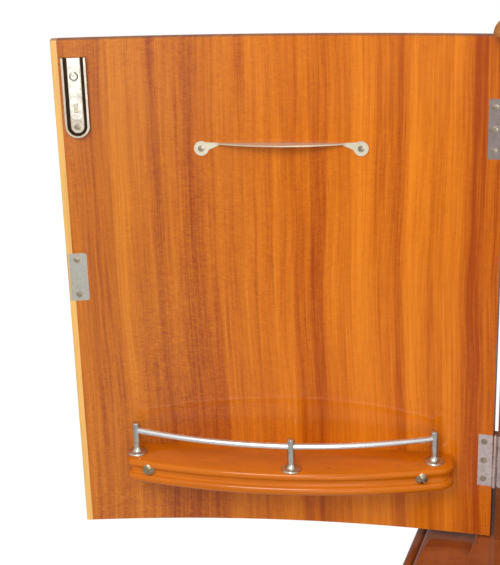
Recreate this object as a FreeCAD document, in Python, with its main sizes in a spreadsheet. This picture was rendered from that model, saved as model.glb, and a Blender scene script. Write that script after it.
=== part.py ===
# A bow-fronted cocktail cabinet. The upper doors stand wide open, the lower doors are shut.
# Frame: millimetres, +Z up, the front faces -Y, origin on the floor under the middle of the base slab.
import FreeCAD, Part
import math
import os
import re
import Sketcher
from FreeCAD import Placement, Rotation, Vector

# Driving sizes, in millimetres and degrees
SIZES = {
    # Upper doors: curved panels on one bow, measured on their inner face
    "door_height": 570,
    "door_thickness": 18,
    "door_radius": 1500,
    "upper_half_width": 469,
    "meeting_gap": 2,
    "seat_gap": 1,
    "door_end_gap": 2,
    "door_opening": 159.4,
    "lipping_width": 7,
    "lipping_round": 2.5,
    # Lower doors, on the same centre
    "lower_door_radius": 1598,
    "lower_half_width": 531.5,
    "lower_door_swing": 100,
    # Case panels
    "panel": 18,
    "side_set_in": 0.5,
    "back_panel": 6,
    "total_depth": 520,
    "lower_case_height": 630,
    "plinth_height": 90,
    "plinth_set_back": 34,
    "plinth_rail": 18,
    "plinth_back_set_in": 40,
    # Base slab with two reeds, step board and top slab
    "slab_half_width": 564.4,
    "slab_radius": 1644,
    "slab_thickness": 30,
    "slab_corner": 46,
    "slab_reeding": 25,
    "reed": 6.2,
    "inner_reed_drop": 8,
    "inner_reed": 12,
    "step_half_width": 491.7,
    "step_radius": 1584,
    "step_thickness": 9,
    "step_corner": 16,
    "top_half_width": 486.4,
    "top_radius": 1528,
    "top_thickness": 20,
    "top_corner": 20,
    "top_nose": 18.5,
    "top_lower_round": 2,
    "step_nose": 7,
    "step_lower_round": 2.5,
    # Butt hinges
    "hinge_length": 63.5,
    "hinge_inset": 95.5,
    "lower_hinge_inset": 90,
    "leaf_width": 16.2,
    "leaf_thickness": 1.8,
    "barrel": 2.9,
    "pin": 1.5,
    "pin_play": 0.05,
    "pin_end": 1.2,
    "axis_out": 2.6,
    "knuckle_room": 0.4,
    "knuckle_count": 5,
    "knuckle_gap": 0.3,
    "leaf_screw_in": 9.7,
    "leaf_screw_pitch": 23,
    # Small countersunk screws
    "screw_head": 3.2,
    "screw_shank": 1.5,
    "screw_length": 13,
    # Flush bolt on the left door
    "bolt_along": 23.5,
    "bolt_top": 551.8,
    "bolt_width": 26,
    "bolt_height": 86,
    "bolt_plate": 2.8,
    "bolt_sunk": 0.6,
    "bolt_rim": 2.2,
    "bolt_rim_height": 5.2,
    "bolt_pad": 6.8,
    "bolt_pad_height": 3,
    "bolt_pad_up": 12,
    "slide_width": 12.5,
    "slide_thickness": 2.6,
    "slide_length": 66,
    "slide_play": 0.2,
    "slide_travel": 7,
    "slide_slot_width": 4.8,
    "tongue_down": 50,
    "tongue_length": 2.4,
    "tongue_width": 4,
    "thumb_knob": 4.8,
    "thumb_knob_height": 3.4,
    "thumb_knob_down": 19.5,
    "dome_share": 0.6,
    # Strike plate on the left door and lock on the right door
    "strike_low": 278.7,
    "strike_height": 55.6,
    "strike_width": 22.5,
    "strike_plate": 1.4,
    "strike_corner": 2.5,
    "strike_screw_in": 11.3,
    "strike_screw_end": 7.6,
    "strike_slot": 14,
    "strike_slot_width": 6.4,
    "strike_slot_depth": 12,
    "lock_width": 44,
    "lock_height": 52,
    "lock_depth": 12.5,
    "lock_wall": 2,
    "lock_bolt_width": 12,
    "lock_bolt_thickness": 5,
    "lock_bolt_length": 34,
    "lock_bolt_in": 4.6,
    "lock_bolt_play": 0.1,
    "key_along": 30,
    "key_drop": 15,
    "key_shank": 2.2,
    "key_play": 0.1,
    "key_end_play": 0.3,
    "key_out": 16,
    "key_bow": 9,
    "key_bow_thickness": 2.6,
    "key_bow_hole": 4.6,
    "key_bit": 6,
    "key_bit_width": 5,
    "key_bit_thickness": 1.8,
    "escutcheon": 9.5,
    "escutcheon_thickness": 1.6,
    # Cocktail-stick strip
    "strip_along": 241.5,
    "strip_level": 455.8,
    "strip_thickness": 1.4,
    "strip_half": 69,
    "strip_end_depth": 4.2,
    "strip_gap": 0.4,
    "strip_depth": 15.5,
    "strip_hole": 1.7,
    "strip_hole_pitch": 20,
    "strip_hole_count": 5,
    "strip_hole_in": 6,
    "ear_out": 86,
    "ear_level": 450.7,
    "ear": 8,
    "ear_thickness": 1.4,
    "ear_web": 5,
    "ear_lap": 2,
    # Door shelf, measured on its own centre line
    "shelf_along": 247.4,
    "shelf_level": 99.5,
    "shelf_thickness": 27.5,
    "shelf_half": 185,
    "shelf_depth": 75.5,
    "shelf_radius": 668,
    "shelf_crown_shift": 11,
    "shelf_free_corner": 10,
    "shelf_hinge_corner": 20,
    "shelf_edge": 6,
    "upper_bead": 9,
    "cove_height": 8,
    "cove_depth": 3.6,
    "quirk": 1.2,
    # Gallery rail: distances from the shelf's centre line
    "rail": 3.4,
    "rail_bow": 487,
    "rail_crown_depth": 62.5,
    "rail_crown_shift": 10,
    "rail_level": 28,
    "post": 4,
    "post_height": 37,
    "post_flange": 11.5,
    "post_flange_height": 2.6,
    "post_flare": 2.6,
    "post_flare_height": 5.5,
    "free_post_out": 175.6,
    "middle_post_out": -5.5,
    "hinge_post_out": -163,
    "shelf_screw_head": 6.1,
    "shelf_screw_dome": 2.8,
    "shelf_screw_shank": 2.4,
    "shelf_screw_drop": 9.4,
    "shelf_screw_bite": 4,
    "shelf_screw_sunk": 0.4,
    "slot_width": 1.3,
    "slot_depth": 1.4,
    "slot_turn": 35,
    "free_screw_out": 158.4,
    "hinge_screw_out": -149.2,
    # Knobs
    "knob": 14,
    "knob_neck": 6,
    "knob_length": 26,
    "knob_neck_length": 9,
    "knob_bevel": 4,
    "knob_along": 40,
    "knob_rise": 55,
    "lower_knob_drop": 120,
    # Shelves and pegs inside the case
    "mirror": 4,
    "glass": 8,
    "glass_depth": 190,
    "glass_level": 330,
    "shelf_play": 1,
    "board_shelf_level": 300,
    "board_shelf_set_back": 60,
    "peg": 2.5,
    "peg_length": 20,
    "peg_in": 9,
    "peg_from_back": 45,
    "peg_span": 120,
    "peg_step": 32,
    # Keeper for the flush bolt, in the top panel
    "keeper_length": 40,
    "keeper_depth": 14,
    "keeper_thickness": 1.5,
    "keeper_play": 0.2,
    # Flats round each small screw and knob
    "screw_sides": 12,
    "knob_sides": 24,
    # One overrun for every cut that goes past a face
    "overrun": 5,
}

doc = FreeCAD.newDocument("cocktail_cabinet")
sheet = doc.addObject("Spreadsheet::Sheet", "Sizes")
for row, (alias, number) in enumerate(SIZES.items(), start=1):
    sheet.set(f"A{row}", alias)
    sheet.set(f"B{row}", str(number))
    sheet.setAlias(f"B{row}", alias)
doc.recompute()

ALIAS = re.compile(r"\b(" + "|".join(SIZES) + r")\b")
NODES = {}


def bound(expression):
    """The expression with the sheet's name in front of each alias."""
    return ALIAS.sub(r"Sizes.\1", expression)


def size(expression):
    """The number that an expression of aliases gives now."""
    return float(sheet.evalExpression(bound(expression)))


def add(kind, label, **sizes):
    """A new object with its named properties bound to the sheet."""
    made = doc.addObject(kind, label)
    for name, expression in sizes.items():
        made.setExpression(name, bound(expression))
    return made


def node(made, label):
    """Keeps an object as one of the cabinet's pieces."""
    made.Label = label
    NODES[label] = made
    return made


# Levels of the case, from the floor up
SLAB_UNDER = "(plinth_height + lower_case_height)"
SLAB_TOP = f"({SLAB_UNDER} + slab_thickness)"
STEP_TOP = f"({SLAB_TOP} + step_thickness)"
DOOR_FOOT = f"({STEP_TOP} + door_end_gap)"
TOP_UNDER = f"({DOOR_FOOT} + door_height + door_end_gap)"
LOWER_DOOR_FOOT = "(plinth_height + door_end_gap)"
LOWER_DOOR_HEIGHT = "(lower_case_height - 2 * door_end_gap)"

# The bow's centre line and the faces that follow it
BOW = "(slab_radius - total_depth / 2)"
BACK = "(total_depth / 2)"
CASE_RADIUS = "(door_radius - seat_gap)"
LOWER_CASE_RADIUS = "(lower_door_radius - seat_gap)"
SIDE = "(upper_half_width - side_set_in)"
LOWER_SIDE = "(lower_half_width - side_set_in)"


def bow_y(x, radius):
    """The place along Y, from the bow's centre, of the bow of that radius at x."""
    return f"-sqrt(({radius}) ^ 2 - ({x}) ^ 2)"


# Sketches
def base_plane(body, role):
    return next(part for part in body.Origin.OriginFeatures if part.Role == role)


def new_sketch(body, name, role="XY_Plane", lift="0"):
    sketch = body.newObject("Sketcher::SketchObject", name)
    sketch.AttachmentSupport = (base_plane(body, role), [""])
    sketch.MapMode = "FlatFace"
    sketch.setExpression("AttachmentOffset.Base.z", bound(lift))
    return sketch


def pin_point(sketch, geometry, end, x, y):
    """Holds one point of a sketch at (x, y)."""
    for kind, expression, axis in (("DistanceX", x, -2), ("DistanceY", y, -1)):
        if expression == "0":
            sketch.addConstraint(Sketcher.Constraint("PointOnObject", geometry, end, axis))
        else:
            start = size(expression)
            index = sketch.addConstraint(Sketcher.Constraint(kind, -1, 1, geometry, end, start))
            sketch.setExpression(f"Constraints[{index}]", bound(expression))


def arc_through(start, stop, radius):
    """The shorter arc between two points. A positive radius puts its centre on the left of the run."""
    middle = (start + stop) * 0.5
    run = stop - start
    half = run.Length / 2
    left = Vector(-run.y, run.x, 0).normalize()
    reach = math.sqrt(max(radius * radius - half * half, 0))
    centre = middle + left * (reach if radius > 0 else -reach)
    first, last = (start, stop) if radius > 0 else (stop, start)
    angles = [math.atan2(point.y - centre.y, point.x - centre.x) for point in (first, last)]
    circle = Part.Circle(centre, Vector(0, 0, 1), abs(radius))
    return Part.ArcOfCircle(circle, angles[0], angles[1])


def draw(sketch, corners, closed=True):
    """Draws a run of lines and arcs. A corner is (x, y), or (x, y, radius) where an arc starts there."""
    places = [Vector(size(corner[0]), size(corner[1]), 0) for corner in corners]
    count = len(corners) if closed else len(corners) - 1
    first = sketch.GeometryCount
    ends = []
    for index in range(count):
        start = places[index]
        stop = places[(index + 1) % len(places)]
        if len(corners[index]) == 3:
            radius = size(corners[index][2])
            sketch.addGeometry(arc_through(start, stop, radius))
            ends.append((1, 2) if radius > 0 else (2, 1))
        else:
            sketch.addGeometry(Part.LineSegment(start, stop))
            ends.append((1, 2))
    for index in range(count if closed else count - 1):
        following = (index + 1) % count
        joint = Sketcher.Constraint("Coincident", first + index, ends[index][1], first + following, ends[following][0])
        sketch.addConstraint(joint)
    for index, corner in enumerate(corners[:count]):
        pin_point(sketch, first + index, ends[index][0], corner[0], corner[1])
        if len(corner) == 3:
            radius = Sketcher.Constraint("Radius", first + index, abs(size(corner[2])))
            held = sketch.addConstraint(radius)
            sketch.setExpression(f"Constraints[{held}]", bound(corner[2].lstrip("-")))
    if not closed:
        pin_point(sketch, first + count - 1, ends[-1][1], corners[-1][0], corners[-1][1])
    return sketch


def ring(sketch, x, y, radius):
    """Draws one circle."""
    circle = Part.Circle(Vector(size(x), size(y), 0), Vector(0, 0, 1), size(radius))
    index = sketch.addGeometry(circle)
    held = sketch.addConstraint(Sketcher.Constraint("Radius", index, size(radius)))
    sketch.setExpression(f"Constraints[{held}]", bound(radius))
    pin_point(sketch, index, 3, x, y)
    return sketch


def box_outline(low_x, low_y, high_x, high_y):
    return [(low_x, low_y), (high_x, low_y), (high_x, high_y), (low_x, high_y)]


# Features
def new_body(label):
    return doc.addObject("PartDesign::Body", label)


def pad(body, sketch, length, kind="PartDesign::Pad", both_ways=False):
    made = body.newObject(kind, "Pad" if kind.endswith("Pad") else "Pocket")
    made.Profile = sketch
    if both_ways:
        made.SideType = "Symmetric"
    made.setExpression("Length", bound(length))
    return made


def pocket(body, sketch, length, reverse=False, both_ways=False):
    made = pad(body, sketch, length, "PartDesign::Pocket", both_ways)
    made.Reversed = reverse
    return made


def turned(body, corners, role="XZ_Plane"):
    """A turned piece: a half profile revolved about the sketch's upright axis."""
    sketch = draw(new_sketch(body, "Profile", role), corners)
    made = body.newObject("PartDesign::Revolution", "Turned")
    made.Profile = sketch
    made.ReferenceAxis = (sketch, ["V_Axis"])
    made.Angle = 360
    return made


NEAR = 1e-4


def edges_where(feature, test):
    """The names of a feature's edges whose bounding box passes the test."""
    edges = feature.Shape.Edges
    return [f"Edge{index}" for index, edge in enumerate(edges, start=1) if test(edge.BoundBox)]


def eased(body, feature, test, width, kind="Fillet", named="Radius"):
    doc.recompute()
    made = body.newObject(f"PartDesign::{kind}", kind)
    made.Base = (feature, edges_where(feature, test))
    made.setExpression(named, bound(width))
    return made


def moved(made, place):
    made.Placement = place
    return made


def spot(x, y, z, turn=Rotation()):
    """A place from three expressions."""
    return Placement(Vector(size(x), size(y), size(z)), turn)


def cut(label, base, *tools):
    """The base with each tool taken out of it in turn."""
    for tool in tools:
        result = doc.addObject("Part::Cut", label)
        result.Base = base
        result.Tool = tool
        base = result
    return base


def fused(label, shapes):
    made = doc.addObject("Part::MultiFuse", label)
    made.Shapes = shapes
    return made


def group(label, shapes):
    made = doc.addObject("Part::Compound", label)
    made.Links = shapes
    return made


def mirrored(label, source, normal=Vector(1, 0, 0), base=Vector(0, 0, 0)):
    made = doc.addObject("Part::Mirroring", label)
    made.Source = source
    made.Normal = normal
    made.Base = base
    return made


# Places. A fitting is drawn at the middle of the bow, with the bow's centre as origin, and turned to its place.
def door_place(along, level, radius, foot):
    """The place on a shut left door, at a distance from its free edge and a level above its foot."""
    turn = Rotation(Vector(0, 0, 1), -math.degrees((along + size("meeting_gap") / 2) / radius))
    return Placement(Vector(0, size(BOW), size(foot) + level), turn)


def hinge_turn(radius, half_width):
    return math.degrees(math.asin(half_width / radius))


def hinge_place(level, radius, half_width, foot):
    turn = Rotation(Vector(0, 0, 1), -hinge_turn(radius, half_width))
    return Placement(Vector(0, size(BOW), size(foot) + level), turn)


def hinge_axis(radius, half_width):
    """A point on the axis of the left door's hinges."""
    at_bow = Vector(-size("axis_out"), -(radius - size("seat_gap") / 2), 0)
    return hinge_place(0, radius, half_width, "0").multVec(at_bow)


UPPER = {"radius": "door_radius", "half": "upper_half_width", "foot": DOOR_FOOT, "height": "door_height"}
LOWER = {
    "radius": "lower_door_radius",
    "half": "lower_half_width",
    "foot": LOWER_DOOR_FOOT,
    "height": LOWER_DOOR_HEIGHT,
}
UPPER_AXIS = hinge_axis(size("door_radius"), size("upper_half_width"))
LOWER_AXIS = hinge_axis(size("lower_door_radius"), size("lower_half_width"))
AT_REST = Placement(Vector(0, 0, 0), Rotation(Vector(0, 0, 1), -size("door_opening")), UPPER_AXIS)


def on_upper_door(along, level):
    """The place of a fitting on the open left door."""
    return AT_REST * door_place(along, level, size("door_radius"), DOOR_FOOT)


# Boards with a bowed front
def bow_board_outline(half, radius, corner):
    """Straight back and sides, rounded front corners, bowed front. It starts at the back left corner."""
    reach = f"sqrt((({radius}) - ({corner})) ^ 2 - (({half}) - ({corner})) ^ 2)"
    share = f"({radius}) / (({radius}) - ({corner}))"
    side_y = f"{BOW} - {reach}"
    front_x = f"(({half}) - ({corner})) * {share}"
    front_y = f"{BOW} - {reach} * {share}"
    return [
        (f"-({half})", BACK),
        (f"-({half})", side_y, f"{corner}"),
        (f"-{front_x}", front_y, f"{radius}"),
        (front_x, front_y, f"{corner}"),
        (f"{half}", side_y),
        (f"{half}", BACK),
    ]


def swept_edge(body, path, profile_corners, role, lift):
    """Runs an edge moulding along a path."""
    profile = draw(new_sketch(body, "Moulding", role, lift), profile_corners)
    edge = body.newObject("PartDesign::AdditivePipe", "Edge")
    edge.Profile = profile
    edge.Spine = (path, [f"Edge{index + 1}" for index in range(path.GeometryCount)])
    return edge


def moulded_board(label, half, radius, corner, reach, level, thickness, profile_corners):
    """A bow-fronted board whose sides and front carry a moulding that reaches out by one width."""
    body = new_body(label)
    inner_half = f"({half} - {reach})"
    inner_radius = f"({radius} - {reach})"
    inner_corner = f"({corner} - {reach})"
    outline = bow_board_outline(inner_half, inner_radius, inner_corner)
    pad(body, draw(new_sketch(body, "Board", lift=level), outline), thickness)
    path = draw(new_sketch(body, "Path", lift=level), outline, closed=False)
    swept_edge(body, path, profile_corners(inner_half, level), "XZ_Plane", f"-{BACK}")
    return body


def nosed_edge(half, level, reach, thickness, lower_round):
    """A nosing whose upper round is the larger one."""
    upper_round = f"({thickness} - {lower_round})"
    return [
        (f"-({half})", level),
        (f"-({half} + {reach} - {lower_round})", level, f"-{lower_round}"),
        (f"-({half} + {reach})", f"{level} + {lower_round}", f"-{upper_round}"),
        (f"-({half} + {reach} - {upper_round})", f"{level} + {thickness}"),
        (f"-({half})", f"{level} + {thickness}"),
    ]


def reeded_edge(half, level):
    """Two reeds: the inner one falls from the slab's top, the outer one stands below it."""
    top = f"{level} + slab_thickness"
    groove = f"-({half} + slab_reeding - 2 * reed)"
    outer_reed = f"{top} - inner_reed_drop"
    return [
        (f"-({half})", level),
        (f"-({half} + slab_reeding - reed)", level, "-reed"),
        (f"-({half} + slab_reeding)", f"{level} + reed"),
        (f"-({half} + slab_reeding)", f"{outer_reed} - reed", "-reed"),
        (f"-({half} + slab_reeding - reed)", outer_reed, "-reed"),
        (groove, f"{outer_reed} - reed"),
        (groove, outer_reed, "-((inner_reed ^ 2 + inner_reed_drop ^ 2) / (2 * inner_reed_drop))"),
        (f"{groove} + inner_reed", top),
        (f"-({half})", top),
    ]


def bow_panel(label, half, radius, level, thickness, back=BACK):
    """A flat case board between the sides, its front on the bow."""
    body = new_body(label)
    front_y = f"{BOW} {bow_y(half, radius)}"
    outline = [(f"-({half})", back), (f"-({half})", front_y, f"{radius}"), (f"{half}", front_y), (f"{half}", back)]
    pad(body, draw(new_sketch(body, "Board", lift=level), outline), thickness)
    return body


def side_panel(label, outer, radius, level, height):
    """The left side of a case. Its front edge follows the bow."""
    body = new_body(label)
    inner = f"({outer} - panel)"
    outline = [
        (f"-({outer})", BACK),
        (f"-({outer})", f"{BOW} {bow_y(outer, radius)}", f"{radius}"),
        (f"-({inner})", f"{BOW} {bow_y(inner, radius)}"),
        (f"-({inner})", BACK),
    ]
    pad(body, draw(new_sketch(body, "Side", lift=level), outline), height)
    return body


def box(label, x, y, z, length, width, height):
    """A plain board with its low corner at (x, y, z)."""
    made = add("Part::Box", label, Length=length, Width=width, Height=height)
    for axis, expression in (("x", x), ("y", y), ("z", z)):
        made.setExpression(f"Placement.Base.{axis}", bound(expression))
    return made


# Curved door panels, drawn shut about the bow's centre
def at_arc(inset, radius):
    """The sine and cosine of the turn from the middle of the bow to a distance past a door's free edge."""
    turn = f"((({inset}) + meeting_gap / 2) / {radius} * 1 rad)"
    return f"sin({turn})", f"cos({turn})"


def at_hinge(pair):
    """The sine and cosine of the turn to a door's hinge edge."""
    sine = f"({pair['half']} / {pair['radius']})"
    return sine, f"sqrt(1 - {sine} ^ 2)"


def door_slice(label, pair, near, far):
    """The part of a left door between two upright edges."""
    body = new_body(label)
    radius = pair["radius"]
    outer = f"({radius} + door_thickness)"
    outline = [
        (f"-{radius} * {near[0]}", f"-{radius} * {near[1]}", f"-{radius}"),
        (f"-{radius} * {far[0]}", f"-{radius} * {far[1]}"),
        (f"-{outer} * {far[0]}", f"-{outer} * {far[1]}", outer),
        (f"-{outer} * {near[0]}", f"-{outer} * {near[1]}"),
    ]
    pad(body, draw(new_sketch(body, "Slice"), outline), pair["height"])
    return body


# Hinges. A hinge is drawn at the middle of the bow: x is 0 at the door's hinge edge, z is 0 at its mid height.
KNUCKLE = "(hinge_length / knuckle_count)"


def hinge_leaf(label, pair, on_door):
    """One leaf of a butt hinge. It carries every other knuckle of the barrel."""
    body = new_body(label)
    radius = pair["radius"]
    face = f"-{radius}" if on_door else f"-({radius} - seat_gap)"
    back = f"{face} - leaf_thickness" if on_door else f"{face} + leaf_thickness"
    low, high = (back, face) if on_door else (face, back)
    axis_y = f"-({radius} - seat_gap / 2)"
    plate = draw(new_sketch(body, "Plate"), box_outline("-axis_out", low, "leaf_width", high))
    pad(body, plate, "hinge_length", both_ways=True)
    barrel = ring(new_sketch(body, "Barrel"), "-axis_out", axis_y, "barrel")
    pad(body, barrel, "hinge_length", both_ways=True)
    bore = ring(new_sketch(body, "Bore"), "-axis_out", axis_y, "pin + pin_play" if on_door else "pin")
    pocket(body, bore, "hinge_length + overrun", both_ways=True)
    first_low = "0" if on_door else KNUCKLE
    lift = f"{first_low} - hinge_length / 2 - knuckle_gap / 2"
    gap = ring(new_sketch(body, "Gap", lift=lift), "-axis_out", axis_y, "barrel + knuckle_gap")
    first = pocket(body, gap, f"{KNUCKLE} + knuckle_gap", reverse=True)
    gaps = body.newObject("PartDesign::LinearPattern", "Gaps")
    gaps.Originals = [first]
    gaps.Direction = (gap, ["N_Axis"])
    cut_away = "(knuckle_count + 1) / 2" if on_door else "(knuckle_count - 1) / 2"
    gaps.setExpression("Occurrences", bound(cut_away))
    gaps.setExpression("Length", bound(f"2 * {KNUCKLE} * ({cut_away} - 1)"))
    body.Tip = gaps
    return body


def hinge_pin(label):
    """A pin that stands a little out of the barrel at each end."""
    return add("Part::Cylinder", label, Radius="pin", Height="hinge_length + 2 * pin_end")


FACE_IN = Rotation(Vector(1, 0, 0), -90)
FACE_OUT = Rotation(Vector(1, 0, 0), 90)


def countersunk_screw(label, place):
    """A wood screw with flats in place of its full round. Its head is flush with its z = 0 plane."""
    rims = []
    for radius, level in (("screw_head", "0"), ("screw_shank", "-leaf_thickness"), ("screw_shank", "-screw_length")):
        rim = add("Part::RegularPolygon", "rim", Circumradius=radius, Polygon="screw_sides")
        rim.setExpression("Placement.Base.z", bound(level))
        rims.append(rim)
    screw = doc.addObject("Part::Loft", label)
    screw.Sections = rims
    screw.Solid = True
    screw.Ruled = True
    return moved(screw, place)


def seat_opening(radius, low, high, height, place):
    """Takes out what is left of a bowed face in front of a flat fitting."""
    opening = add("Part::Box", "opening", Length=f"({high}) - ({low})", Width="overrun", Height=height)
    return moved(opening, place * spot(low, f"-{radius}", f"-{height} / 2"))


def build_hinges(prefix, pair, inset, at_rest):
    """The hinges of a left door and, by reflection, of the right one, and what is cut away for them."""
    radius = pair["radius"]
    place = hinge_place(size(inset), size(radius), size(pair["half"]), pair["foot"])
    middle = Vector(0, 0, size(f"{pair['foot']} + {pair['height']} / 2"))
    up = Vector(0, 0, 1)
    sets = {}
    for name, on_door, face, turn, hold in (
        ("door", True, f"-{radius}", FACE_IN, at_rest),
        ("case", False, f"-({radius} - seat_gap)", FACE_OUT, Placement()),
    ):
        screws = []
        for step in (-1, 0, 1):
            spot_here = spot("leaf_screw_in", face, f"{step} * leaf_screw_pitch", turn)
            screws.append(countersunk_screw(f"{prefix}_{name}_screw", hold * place * spot_here))
        screw_row = group(f"{prefix}_{name}_screws", screws)
        blank = moved(hinge_leaf(f"{prefix}_{name}_leaf", pair, on_door), hold * place)
        leaf = cut(f"{prefix}_{name}_leaf", blank, screw_row)
        for part, low in (("leaves", leaf), ("screws", screw_row)):
            high = mirrored(f"{prefix}_{name}_{part}_high", low, up, middle)
            sets[f"{name}_{part}"] = group(f"{prefix}_{name}_{part}", [low, high])
    pin_spot = spot("-axis_out", f"-({radius} - seat_gap / 2)", "-hinge_length / 2 - pin_end")
    low = moved(hinge_pin(f"{prefix}_pin"), place * pin_spot)
    sets["pins"] = group(f"{prefix}_pins", [low, mirrored(f"{prefix}_pin_high", low, up, middle)])
    room_spot = spot("-axis_out", f"-({radius} - seat_gap / 2)", "-hinge_length / 2 - pin_end - knuckle_room")
    for name, hold in (("door_room", at_rest), ("case_room", Placement())):
        room_height = "hinge_length + 2 * (pin_end + knuckle_room)"
        room = add("Part::Cylinder", name, Radius="barrel + knuckle_room", Height=room_height)
        lows = [moved(room, hold * place * room_spot)]
        if name == "door_room":
            lows.append(seat_opening(radius, "-overrun", "leaf_width", "hinge_length", hold * place))
        pairs = []
        for low in lows:
            pairs.extend((low, mirrored(f"{name}_high", low, up, middle)))
        sets[name] = group(f"{prefix}_{name}", pairs)
    return sets


# Case
def build_plinth():
    half = "(lower_half_width - plinth_set_back)"
    radius = "(lower_door_radius + door_thickness - plinth_set_back)"
    inner = f"({radius} - plinth_rail)"
    back = f"({BACK} - plinth_back_set_in)"
    rail_x = f"({half} - plinth_rail)"
    front = new_body("plinth_front")
    outline = [
        (f"-{half}", f"{BOW} {bow_y(half, radius)}", radius),
        (half, f"{BOW} {bow_y(half, radius)}"),
        (half, f"{BOW} {bow_y(half, inner)}", f"-{inner}"),
        (f"-{half}", f"{BOW} {bow_y(half, inner)}"),
    ]
    pad(front, draw(new_sketch(front, "Rail"), outline), "plinth_height")
    node(front, "plinth_front")
    side = new_body("plinth_left")
    outline = [
        (f"-{half}", back),
        (f"-{half}", f"{BOW} {bow_y(half, inner)}", inner),
        (f"-{rail_x}", f"{BOW} {bow_y(rail_x, inner)}"),
        (f"-{rail_x}", back),
    ]
    pad(side, draw(new_sketch(side, "Rail"), outline), "plinth_height")
    node(side, "plinth_left")
    node(mirrored("plinth_right", side), "plinth_right")
    rail = box("plinth_back", f"-{rail_x}", f"{back} - plinth_rail", "0", f"2 * {rail_x}", "plinth_rail", "plinth_height")
    node(rail, "plinth_back")


def build_pegs(label, side, level):
    """Two shelf pegs in a left side panel, their tops at the level of the shelf's underside."""
    pegs = []
    for step in (0, 1):
        peg = add("Part::Cylinder", label, Radius="peg", Height="peg_length")
        x = f"-({side} - panel + peg_in)"
        y = f"{BACK} - peg_from_back - {step} * peg_span"
        pegs.append(moved(peg, spot(x, y, f"{level} - peg", Rotation(Vector(0, 1, 0), 90))))
    return group(label, pegs)


def build_spare_holes(level):
    """Empty peg holes above and below the ones in use."""
    holes = []
    for step in (-1, 1):
        for place in (0, 1):
            hole = add("Part::Cylinder", "spare_hole", Radius="peg", Height="peg_in + overrun")
            x = f"-({SIDE} - panel + peg_in)"
            y = f"{BACK} - peg_from_back - {place} * peg_span"
            z = f"{level} - peg + {step} * peg_step"
            holes.append(moved(hole, spot(x, y, z, Rotation(Vector(0, 1, 0), 90))))
    return group("spare_holes", holes)


def build_lower_case(hinges):
    inner = f"({LOWER_SIDE} - panel)"
    floor_top = "(plinth_height + panel)"
    height = "(lower_case_height - panel)"
    node(bow_panel("lower_floor", LOWER_SIDE, LOWER_CASE_RADIUS, "plinth_height", "panel"), "lower_floor")
    shelf_level = f"({floor_top} + board_shelf_level)"
    pegs = build_pegs("lower_pegs", LOWER_SIDE, shelf_level)
    side = side_panel("lower_side", LOWER_SIDE, LOWER_CASE_RADIUS, floor_top, height)
    seats = [hinges["case_leaves"], hinges["case_screws"], hinges["case_room"]]
    left = cut("lower_side_left", side, *seats, pegs)
    node(left, "lower_side_left")
    node(mirrored("lower_side_right", left), "lower_side_right")
    back = box("lower_back", f"-{inner}", f"{BACK} - back_panel", floor_top, f"2 * {inner}", "back_panel", height)
    node(back, "lower_back")
    shelf_half = f"({inner} - shelf_play)"
    shelf_radius = f"({LOWER_CASE_RADIUS} - board_shelf_set_back)"
    shelf_back = f"({BACK} - back_panel - shelf_play)"
    shelf = bow_panel("lower_shelf", shelf_half, shelf_radius, shelf_level, "panel", shelf_back)
    node(shelf, "lower_shelf")
    return pegs


def build_slabs():
    slab = moulded_board(
        "base_slab", "slab_half_width", "slab_radius", "slab_corner", "slab_reeding",
        SLAB_UNDER, "slab_thickness", reeded_edge,
    )
    node(slab, "base_slab")
    step = moulded_board(
        "step_board", "step_half_width", "step_radius", "step_corner", "step_nose",
        SLAB_TOP, "step_thickness",
        lambda half, level: nosed_edge(half, level, "step_nose", "step_thickness", "step_lower_round"),
    )
    node(step, "step_board")
    top = moulded_board(
        "top_slab", "top_half_width", "top_radius", "top_corner", "top_nose",
        TOP_UNDER, "top_thickness",
        lambda half, level: nosed_edge(half, level, "top_nose", "top_thickness", "top_lower_round"),
    )
    node(top, "top_slab")


def build_upper_case(hinges):
    inner = f"({SIDE} - panel)"
    height = f"({TOP_UNDER} - {STEP_TOP})"
    glass_level = f"({STEP_TOP} + glass_level)"
    pegs = build_pegs("upper_pegs", SIDE, glass_level)
    side = side_panel("upper_side", SIDE, CASE_RADIUS, STEP_TOP, height)
    seats = [hinges["case_leaves"], hinges["case_screws"], hinges["case_room"]]
    left = cut("upper_side_left", side, *seats, pegs, build_spare_holes(glass_level))
    node(left, "upper_side_left")
    node(mirrored("upper_side_right", left), "upper_side_right")
    back = box("upper_back", f"-{inner}", f"{BACK} - back_panel", STEP_TOP, f"2 * {inner}", "back_panel", height)
    node(back, "upper_back")
    under = f"({TOP_UNDER} - panel)"
    board = bow_panel("upper_top", inner, CASE_RADIUS, under, "panel", f"({BACK} - back_panel)")
    keeper, hole = build_keeper(under)
    node(cut("upper_top", board, keeper, hole), "upper_top")
    node(cut("bolt_keeper", keeper, hole), "bolt_keeper")
    glass_x = f"({inner} - shelf_play)"
    mirror_y = f"({BACK} - back_panel - mirror)"
    mirror_height = f"({under} - {STEP_TOP})"
    mirror = box("back_mirror", f"-{glass_x}", mirror_y, STEP_TOP, f"2 * {glass_x}", "mirror", mirror_height)
    node(mirror, "back_mirror")
    shelf_y = f"{mirror_y} - shelf_play - glass_depth"
    shelf = box("glass_shelf", f"-{glass_x}", shelf_y, glass_level, f"2 * {glass_x}", "glass_depth", "glass")
    node(shelf, "glass_shelf")
    return pegs


# Flush bolt. Its frame: x is 0 on its centre line, z is 0 at the top of its plate.
SLIDE_FOOT = "(bolt_plate - bolt_sunk + slide_play)"


def above_face(height):
    """The lift of an upright sketch that stands a height above the door's inner face."""
    return f"door_radius - ({height})"


def tongue_shape(half, length):
    """A strip with a square top and a round foot."""
    return [
        (f"-{half}", "0"),
        (f"-{half}", f"-({length} - {half})", half),
        ("0", f"-{length}", half),
        (half, f"-({length} - {half})"),
        (half, "0"),
    ]


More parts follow.
